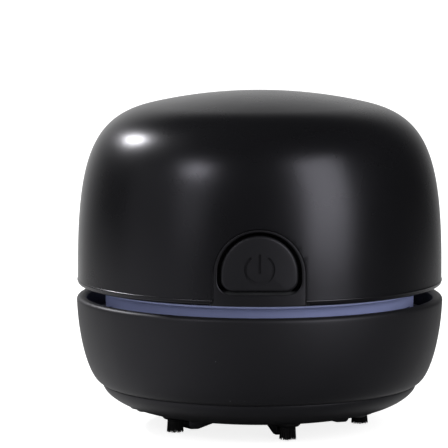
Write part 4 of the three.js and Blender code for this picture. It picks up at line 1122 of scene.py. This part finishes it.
RING_FLANGE, RING_BOTTOM, RING_TOP = span("exhaust_ring")
RING_FLANGE_HEIGHT = 1.0
RING_FLARE = 2.2
RING_RIM = 0.25
RING_INNER = RING_RADIUS - 1.6
LEDGE = RING_INNER - 1.65
LEDGE_TOP = RING_BOTTOM + 1.0
LUG_REACH = COLLAR_INNER * math.cos(math.pi / 28) - GAP
LUG_HALF_SPAN = 7
LUG_BOTTOM = RING_BOTTOM + 0.5
LUG_TOP = RING_BOTTOM + 2.1
COLUMN = 2.6
COLUMN_PLACES = [around(RING_INNER - COLUMN + 0.3, angle) for angle in (60, 180, 300)]
SLOTS = 18
SLOT_HALF = 2.9
SLOT_BOTTOM = COLLAR_TOP + GAP
SLOT_TOP = SLOT_BOTTOM + 2.5
INLET = 12.0
INLET_ROUND = 1.0
BEVEL = 0.2
FRAME_RIM = 3.0
FRAME_THICKNESS = 1.4
GRIP = 4.0
GRIP_WALL = 0.9
SPOKE = 0.8
SPOKES = 6


def exhaust_ring():
    flange, edge = RING_TOP - RING_FLANGE_HEIGHT, RING_FLANGE - RING_RIM
    outline = [
        (LEDGE, RING_BOTTOM),
        *arc((RING_RADIUS - RING_RIM, RING_BOTTOM + RING_RIM), RING_RIM, 270, 360, 4),
        *bezier([(RING_RADIUS, flange - RING_FLARE), (RING_RADIUS, flange), (edge, flange)], 14),
        *arc((edge, flange + RING_RIM), RING_RIM, 290, 360, 4),
        *arc((edge, RING_TOP - RING_RIM), RING_RIM, 0, 90, 4),
        (RING_INNER, RING_TOP), (RING_INNER, LEDGE_TOP), (LEDGE, LEDGE_TOP),
    ]
    ring = turned("vent_ring", outline, SHELL_SIDES)
    opening = rectangle(-SLOT_HALF, SLOT_BOTTOM, SLOT_HALF, SLOT_TOP)
    added, removed = [], []
    for i in range(SLOTS):
        slot = slab("slot", opening, -RING_RADIUS - OVERRUN, OVERRUN - RING_INNER, 0.01, 0.5,
                    place=facing)
        removed.append(placed(slot, turn=(i + 0.5) * 360 / SLOTS))
    for lug in LUG_ANGLES:
        added.append(sector("lug", RING_RADIUS - 0.8, LUG_REACH, LUG_BOTTOM, LUG_TOP, lug - LUG_HALF_SPAN,
                            lug + LUG_HALF_SPAN, 0.25, 12))
    for place in COLUMN_PLACES:
        added.append(peg(place, COLUMN, LEDGE_TOP - 0.3, RING_TOP - 0.02, 0.1))
        removed.append(peg(place, SCREW_HOLE, RING_TOP - 6, RING_TOP + OVERRUN))
    dressed(cut(joined(ring, added), removed), "ring_blue", "exhaust_ring")


def plate_rim(radius, bottom, top):
    """The outer rim of a plate, with both its edges bevelled."""
    flat = radius - BEVEL
    return [(flat, bottom), (radius, bottom + BEVEL), (radius, top - BEVEL), (flat, top)]


def fan_inlet_plate():
    radius, bottom, top = span("fan_inlet_plate")
    lip = INLET + INLET_ROUND
    outline = [
        *arc((lip, top - BEVEL), INLET_ROUND, 180, 270, 8)[:-1],
        (lip, bottom), *plate_rim(radius, bottom, top), (INLET + BEVEL, top),
    ]
    plate = turned("inlet_plate", outline, SHELL_SIDES)
    cut(plate, [peg(place, COLUMN + GAP, bottom - OVERRUN, top + OVERRUN) for place in COLUMN_PLACES])
    dressed(plate, "inner_grey", "fan_inlet_plate")


def filter_frame():
    """A rim and spokes round a hollow grip, as a washable filter has."""
    radius, foot, top = span("filter_frame")
    bottom = top - FRAME_THICKNESS
    shape = tube("filter_rim", radius - FRAME_RIM, radius, bottom, top, 0.25, SHELL_SIDES)
    floor, inner = foot + GRIP_WALL, GRIP - GRIP_WALL
    grip = [(0, floor, 0), (inner, floor, 0.4), (inner, foot), (GRIP, foot), (GRIP, top), (0, top, 0)]
    added = [turned("grip", rounded(grip, 0.3, 4), SMALL_SIDES * 2)]
    for i in range(SPOKES):
        spoke = block("spoke", (-SPOKE, FRAME_RIM / 2 - radius, bottom), (SPOKE, -GRIP / 2, top), 0.25)
        added.append(placed(spoke, turn=i * 360 / SPOKES))
    dressed(joined(shape, added), "inner_grey", "filter_frame")


def filter_screen():
    """A felt washer with soft rims."""
    radius, bottom, top = span("filter_screen")
    felt = tube("felt", GRIP + GAP, radius, bottom, top, 0.3, SHELL_SIDES)
    dressed(felt, "filter_felt", "filter_screen", smooth=60)


exhaust_ring()
fan_inlet_plate()
filter_frame()
filter_screen()

# Impeller

FAN_RADIUS, FAN_BOTTOM, FAN_TOP = span("impeller")
VANES = 9
VANE_HALF = 0.6
VANE_ROOT = 9.0
VANE_SWEEP = 62
VANE_SWEEP_POWER = 0.8
VANE_STEPS = 28
BACKPLATE = FAN_BOTTOM + 4.4
BACKPLATE_TOP = BACKPLATE + 1.2
HUB = 4.0
HUB_CONE = 8.0
HUB_FILLET = 0.5
HUB_PULL = 1.2
HUB_EDGE = 0.4
SHAFT_PASSAGE = 1.3


def vane():
    """One backward-curved vane from the hub to the rim."""
    line = []
    for i in range(VANE_STEPS + 1):
        share = i / VANE_STEPS
        radius = VANE_ROOT + (FAN_RADIUS - VANE_ROOT) * share
        line.append(around(radius, VANE_SWEEP * share ** VANE_SWEEP_POWER))
    outline = beside(line, -VANE_HALF) + beside(line, VANE_HALF)[::-1]
    ends = (0, VANE_STEPS, VANE_STEPS + 1, 2 * VANE_STEPS + 1)
    corners = [(x, y, VANE_HALF * 0.9 if i in ends else 0) for i, (x, y) in enumerate(outline)]
    return slab("vane", corners, FAN_BOTTOM, BACKPLATE + 0.6, 0.25)


def impeller():
    cone = bezier([(HUB, FAN_BOTTOM + HUB_EDGE), (HUB, BACKPLATE - HUB_PULL), (HUB + HUB_PULL, BACKPLATE),
                   (HUB_CONE, BACKPLATE)], 12)
    foot, neck = HUB + HUB_FILLET, BACKPLATE_TOP + HUB_FILLET
    outline = [
        (SHAFT_PASSAGE, FAN_BOTTOM), (HUB - HUB_EDGE, FAN_BOTTOM), *cone,
        *plate_rim(FAN_RADIUS, BACKPLATE, BACKPLATE_TOP), (foot, BACKPLATE_TOP),
        *arc((foot, neck), HUB_FILLET, 270, 180, 4)[1:],
        (HUB, FAN_TOP - BEVEL), (HUB - BEVEL, FAN_TOP), (SHAFT_PASSAGE, FAN_TOP),
    ]
    wheel = turned("fan_wheel", outline, SHELL_SIDES)
    joined(wheel, [placed(vane(), turn=i * 360 / VANES) for i in range(VANES)])
    combined(wheel, [rod("reach", FAN_RADIUS, 0, COVER_TOP, 0.1, SHELL_SIDES)], "INTERSECT")
    dressed(wheel, "fan_white", "impeller", body="fan")


impeller()

# Motor chassis

cell_low, cell_high = box("battery_cell_right")
link_low, link_high = box("contact_link")
board_low, board_high = box("switch_board")
CHASSIS_ROOT = (CHASSIS_BOTTOM + CHASSIS_TOP) / 2
CHASSIS_BORE = 3.5
CELL = 7.1
CELL_X = (cell_low.x + cell_high.x) / 2
CELL_Z = (cell_low.z + cell_high.z) / 2
CONTACT_TOP = link_high.z
END_WALL = link_high.y + GAP
END_WALL_THICKNESS = 1.4
END_WALL_HALF = CELL - 2.1
CRADLE_Y = 12.5
CRADLE_THICKNESS = 1.6
CRADLE_TOP = CHASSIS_TOP + 5
MOTOR_COLLAR = (12.3, 13.6)
MOTOR_COLLAR_TOP = CHASSIS_TOP + 3
MOTOR_SCREW_X = 8.0
POST = 1.6
POST_PIN = 0.7
POST_X = 5.2
POST_Y = board_high.y - 1.9


def cradle(x, y):
    half, thick = CELL - CRADLE_THICKNESS / 2, CRADLE_THICKNESS / 2
    saddle = block("cradle", (x - half, y - thick, CHASSIS_ROOT), (x + half, y + thick, CRADLE_TOP), 0.3)
    room = peg_along_y((x, CELL_Z), CELL + GAP, y - 2 * thick, y + 2 * thick, sides=SHELL_SIDES)
    return cut(saddle, [room])


def motor_chassis():
    plate = tube("chassis_plate", CHASSIS_BORE, CHASSIS_RADIUS, CHASSIS_BOTTOM, CHASSIS_TOP, 0.25,
                 SHELL_SIDES)
    added = [tube("collar", *MOTOR_COLLAR, CHASSIS_ROOT, MOTOR_COLLAR_TOP, 0.3)]
    for side in (-1, 1):
        x = CELL_X * side
        added += [cradle(x, CRADLE_Y), cradle(x, -CRADLE_Y)]
        for front in (END_WALL, -END_WALL - END_WALL_THICKNESS):
            added.append(block("end_wall", (x - END_WALL_HALF, front, CHASSIS_ROOT),
                               (x + END_WALL_HALF, front + END_WALL_THICKNESS, CONTACT_TOP + GAP), 0.3))
        post = (side * POST_X, POST_Y)
        added.append(peg(post, POST, CHASSIS_ROOT, board_low.z - GAP, 0.2))
        added.append(peg(post, POST_PIN, CHASSIS_ROOT, board_high.z + GAP, 0.25))
    holes = [(-MOTOR_SCREW_X, 0), (MOTOR_SCREW_X, 0), *COLUMN_PLACES]
    holes += [middle("bezel_screw_left"), middle("bezel_screw_right")]
    low, high = CHASSIS_BOTTOM - OVERRUN, CHASSIS_TOP + OVERRUN
    removed = [peg(place, SCREW_HOLE, low, high) for place in holes]
    cut(joined(plate, added), removed)
    dressed(plate, "inner_grey", "motor_chassis")


motor_chassis()

# Motor

MOTOR, CAN_BOTTOM, CAN_TOP = span("motor_can")
_, CAP_BOTTOM, CAP_TOP = span("motor_end_cap")
MOTOR_BOTTOM = CAN_BOTTOM + 1.4
MOTOR_BOSS = 3.2
MOTOR_INNER = MOTOR - 1.0
MOTOR_FLOOR = MOTOR_BOTTOM + 1.2
AIR_HOLE = 1.3
AIR_HOLE_Y = 7
WINDOW = (2.6, 2)
TERMINAL_X = 7.0
TERMINAL_SLOT = (1.3, 0.55)
VENT = (1.1, 2)
VENT_Y = 7.5


def motor_can():
    """A drawn steel can with a boss for its bearing, and two air holes in its face."""
    corners = [
        (SHAFT_PASSAGE, CAN_BOTTOM), (MOTOR_BOSS, CAN_BOTTOM, 0.3), (MOTOR_BOSS, MOTOR_BOTTOM, 0.3),
        (MOTOR, MOTOR_BOTTOM, 1.1), (MOTOR, CAN_TOP, 0.2), (MOTOR_INNER, CAN_TOP),
        (MOTOR_INNER, MOTOR_FLOOR, 0.6), (SHAFT_PASSAGE, MOTOR_FLOOR),
    ]
    can = turned("motor_shell", rounded(corners, 0.15, 6), SHELL_SIDES)
    through = MOTOR_BOTTOM - 3, MOTOR_BOTTOM + 3
    holes = [peg((side * MOTOR_SCREW_X, 0), SCREW_HOLE, *through) for side in (-1, 1)]
    for y in (-1, 1):
        low = (-WINDOW[0], y * MOTOR - WINDOW[1], CAN_TOP - 9)
        holes.append(block("window", low, (WINDOW[0], y * MOTOR + WINDOW[1], CAN_TOP - 5), 0.8))
        holes.append(peg((0, y * AIR_HOLE_Y), AIR_HOLE, *through))
    cut(can, holes)
    dressed(can, "motor_steel", "motor_can", smooth=50)


def motor_end_cap():
    face, seat, inner = CAP_TOP - 1.4, CAN_TOP + GAP, MOTOR_INNER - GAP
    corners = [
        (SHAFT_PASSAGE, CAP_BOTTOM), (inner, CAP_BOTTOM), (inner, seat), (MOTOR, seat),
        (MOTOR, face, 0.5), (MOTOR_BOSS, face, 0.3), (MOTOR_BOSS, CAP_TOP, 0.4),
        (SHAFT_PASSAGE, CAP_TOP),
    ]
    cap = turned("motor_cap", rounded(corners, 0.15, 4), INNER_SIDES)
    removed = []
    for side in (-1, 1):
        x, y = side * TERMINAL_X, side * VENT_Y
        removed.append(block("slot", (x - TERMINAL_SLOT[0], -TERMINAL_SLOT[1], CAP_BOTTOM - OVERRUN),
                             (x + TERMINAL_SLOT[0], TERMINAL_SLOT[1], CAP_TOP + OVERRUN), 0.1))
        removed.append(block("vent", (-VENT[0], y - VENT[1], face - 0.7),
                             (VENT[0], y + VENT[1], face + OVERRUN), 0.4))
    dressed(cut(cap, removed), "switch_black", "motor_end_cap")


motor_can()
motor_end_cap()

# Cells, springs and leads

NUB = 2.7
NUB_LENGTH = 1.0
SLEEVE = 0.35
WIRE = 0.3
SPRING_TURNS = 2.5
SPRING_STEPS = 90
SPRING_TAPER = 2.0
LEAD = 0.6
LEAD_STEPS = 14
PLATE_TAB_X = CELL_X - 8.0
PLATE_Y = link_low.y + 0.2
PLATE_TAB_Z = SEAT + 6.0


def battery_cell(name, side):
    """A plain cell along Y: a bare sleeve rolled over two steel ends."""
    node = "battery_cell_" + name
    low, high = box(node)
    half = (high.y - low.y) / 2
    shoulder = half - NUB_LENGTH
    steel = turned("cell_ends_" + name, rounded([
        (0, -half, 0), (CELL - 2.4, -half), (CELL - 2.2, 0.3 - half), (CELL - 1.1, 0.3 - half),
        (CELL - 0.8, 0.15 - half), (CELL - SLEEVE, 0.45 - half), (CELL - SLEEVE, shoulder - 0.4),
        (CELL - 1.4, shoulder - 0.3), (NUB + 0.8, shoulder - 0.3), (NUB, shoulder + 0.1),
        (NUB, half, 0.4), (0, half, 0),
    ], 0.1, 3))
    sleeve = turned("cell_sleeve_" + name, rounded([
        (CELL - SLEEVE, 0.5 - half), (CELL - 0.9, 0.12 - half), (CELL - 0.9, -half), (CELL, -half, 0.4),
        (CELL, shoulder, 0.5), (CELL - 1.5, shoulder), (CELL - 1.5, shoulder - 0.2),
        (CELL - SLEEVE, shoulder - 0.25),
    ], 0.06, 4))
    for thing, slot in ((steel, "contact_steel"), (sleeve, "cell_sleeve")):
        placed(placed(thing, turn=-90 * side, axis="X"), (side * CELL_X, (low.y + high.y) / 2, CELL_Z))
        dressed(thing, slot, node)


def contact_spring(name):
    """A tapered coil from its plate, where it is widest, to its cell."""
    node = "contact_spring_" + name
    low, high = box(node)
    plate, end = (low.y, high.y) if name == "front" else (high.y, low.y)
    way = math.copysign(1, end - plate)
    wide = (high.x - low.x) / 2 - WIRE
    path = []
    for i in range(SPRING_STEPS + 1):
        share = i / SPRING_STEPS
        radius = wide - SPRING_TAPER * share
        angle = share * SPRING_TURNS * 2 * math.pi
        y = plate + way * (WIRE + (abs(end - plate) - 2 * WIRE) * share)
        x = (low.x + high.x) / 2 + radius * math.cos(angle)
        path.append(Vector((x, y, CELL_Z + way * radius * math.sin(angle))))
    dressed(wire("spring_" + name, path, WIRE), "contact_steel", node, smooth=60)


def lead(name, slot, *places):
    """A soldered lead through its places."""
    cable = wire(name + "_wire", smooth_path(places, LEAD_STEPS), LEAD)
    dressed(cable, slot, name, smooth=60)


def leads():
    edge = board_high.x - LEAD * 2
    solder = board_high.z + GAP
    back = board_high.y - LEAD
    lane = (MOTOR + CELL_X - CELL) * 0.4
    top = box("motor_terminal_right")[1].z + GAP

    def down_to_terminal(side):
        """The last stretch of a lead, from beside the motor to its terminal."""
        return [(side * lane, -MOTOR * 0.8, CAN_TOP),
                (side * (TERMINAL_X + LEAD * 3), -MOTOR * 0.3, top + LEAD),
                (side * TERMINAL_X, 0, top + LEAD * 2),
                (side * TERMINAL_X, 0, top)]

    lead("lead_battery_switch", "lead_red",
         (PLATE_TAB_X, -PLATE_Y, PLATE_TAB_Z),
         (PLATE_TAB_X - LEAD * 3, -PLATE_Y, PLATE_TAB_Z),
         (edge + LEAD, -PLATE_Y - LEAD, solder + LEAD * 3),
         (edge, -PLATE_Y - LEAD, solder))
    lead("lead_switch_motor", "lead_red",
         (edge, back, solder),
         (edge, back, solder + LEAD * 4),
         (lane, -MOTOR, CELL_Z + LEAD * 2),
         *down_to_terminal(1))
    lead("lead_battery_motor", "lead_black",
         (-PLATE_TAB_X, -PLATE_Y, PLATE_TAB_Z),
         (-PLATE_TAB_X + LEAD * 3, -PLATE_Y + LEAD, PLATE_TAB_Z + LEAD * 2),
         (-lane, -MOTOR * 1.4, (PLATE_TAB_Z + CAN_TOP) / 2),
         *down_to_terminal(-1))


battery_cell("left", -1)
battery_cell("right", 1)
contact_spring("front")
contact_spring("rear")
leads()

# Board and switch

BOARD_HOLE = 1.0
PAD_OUTLINE = [(0, 0, 0), (0.9, 0), (0.55, 0.12), (0.3, 0.22), (0, 0.24, 0)]
PAD_PLACES = ((5.2, -16.9), (5.2, -28.6), (-5.2, -28.6), (2.2, -29.0), (-2.2, -29.0))
SWITCH_BORE = 1.8
SWITCH_BORE_DEPTH = 5.8
SWITCH_LID = 0.9
SWITCH_LID_INSET = 0.4
GROOVE_HALF = 0.3


def switch_board():
    """The board on its two pegs, with a bare pad under each soldered lead."""
    board = block("board", board_low, board_high, 0.12)
    cut(board, [peg((side * POST_X, POST_Y), BOARD_HOLE, board_low.z - OVERRUN, board_high.z + OVERRUN)
                for side in (-1, 1)])
    dressed(board, "board_green", "switch_board")
    pads = [placed(turned("pad", rounded(PAD_OUTLINE, 0.05, 3), SMALL_SIDES), (*place, board_high.z))
            for place in PAD_PLACES]
    dressed(gathered("board_pads", pads), "terminal_brass")


def latch_switch():
    """A latching switch: a case with a collar round its plunger and a cover clipped on behind."""
    low, high = box("latch_switch")
    inset_corner = Vector((SWITCH_LID_INSET, 0, SWITCH_LID_INSET))
    case = block("switch_case", (low.x, low.y + SWITCH_LID, low.z), high, 0.35)
    lid = block("switch_lid", low + inset_corner,
                (high.x - SWITCH_LID_INSET, low.y + 1.4, high.z - SWITCH_LID_INSET), 0.3)
    joined(case, [lid])
    bore = peg_along_y((0, SWITCH_AXIS), SWITCH_BORE, low.y - OVERRUN, low.y + SWITCH_BORE_DEPTH)
    grooves = [block("groove", (x - GROOVE_HALF, low.y + 3.2, low.z - OVERRUN),
                     (x + GROOVE_HALF, high.y - 1.2, high.z + OVERRUN), 0.1) for x in (low.x, high.x)]
    cut(case, [bore, *grooves])
    dressed(case, "switch_black", "latch_switch")


switch_board()
latch_switch()

# Screws

HEAD = 1.9
HEAD_HEIGHT = 1.2
SHANK = 0.8
POINT = 0.7
THREAD = 0.95
THREAD_HALF = 0.17
PITCH = 0.62
RECESS_HALF = 0.2


def thread(length):
    """A fine ridge that winds up the shank."""
    turns = (length - 2 * POINT) / PITCH
    steps = round(turns * 20)
    rings = []
    for i in range(steps + 1):
        angle = 2 * math.pi * turns * i / steps
        z = POINT - length + PITCH * turns * i / steps
        depth = THREAD if 0 < i < steps else SHANK
        ridge = ((SHANK - 0.1, -THREAD_HALF), (depth, 0), (SHANK - 0.1, THREAD_HALF))
        rings.append([(r * math.cos(angle), r * math.sin(angle), z + lift) for r, lift in ridge])
    return loft("thread", rings)


def pan_screw(node, up):
    """A pan-head screw with a cross recess, its head up or down."""
    low, high = box(node)
    length = high.z - low.z - HEAD_HEIGHT
    outline = rounded([
        (0, -length, 0), (0.25, -length), (SHANK, POINT - length), (SHANK, 0), (HEAD, 0),
        (HEAD, 0.5, 0.4), (HEAD - 0.6, HEAD_HEIGHT - 0.06, 0.4), (0, HEAD_HEIGHT, 0),
    ], 0.08, 4)
    shape = turned("screw", outline, 48)
    recess = []
    for turn in (0, 90):
        arms = [[(x, y, z) for x, y in rectangle(-half, -RECESS_HALF, half, RECESS_HALF)]
                for half, z in ((0.5, 0.35), (1.05, HEAD_HEIGHT + 0.1))]
        recess.append(placed(loft("recess", arms), turn=turn))
    cut(shape, recess)
    whole = gathered(node + "_pan", [shape, thread(length)])
    seat = high.z - HEAD_HEIGHT if up else low.z + HEAD_HEIGHT
    return placed(placed(whole, turn=0 if up else 180, axis="X"), (*middle(node), seat))


def screws():
    sides = ("left", "right")
    for stem, ends, body, up in (("base_screw", "123", "dust_bowl", False),
                                 ("ring_screw", "123", "power_head", True),
                                 ("motor_screw", sides, "power_head", False),
                                 ("bezel_screw", sides, "power_head", True)):
        for end in ends:
            node = f"{stem}_{end}"
            dressed(pan_screw(node, up), "screw_steel", node, body=body, smooth=30)


screws()


def kept_nodes():
    """The plain metal nodes stay as they are, each with the finish of its slot."""
    kept = {
        "contact_steel": ("contact_plate_left", "contact_plate_right", "contact_link"),
        "terminal_brass": ("motor_terminal_left", "motor_terminal_right"),
        "magnet_grey": ("motor_magnet_left", "motor_magnet_right"),
        "motor_steel": ("motor_armature",),
    }
    for slot, names in kept.items():
        for name in names:
            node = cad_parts[name]
            node.data.materials.clear()
            node.data.materials.append(SURFACES[slot])


kept_nodes()

bpy.context.scene.view_settings.view_transform = "Standard"
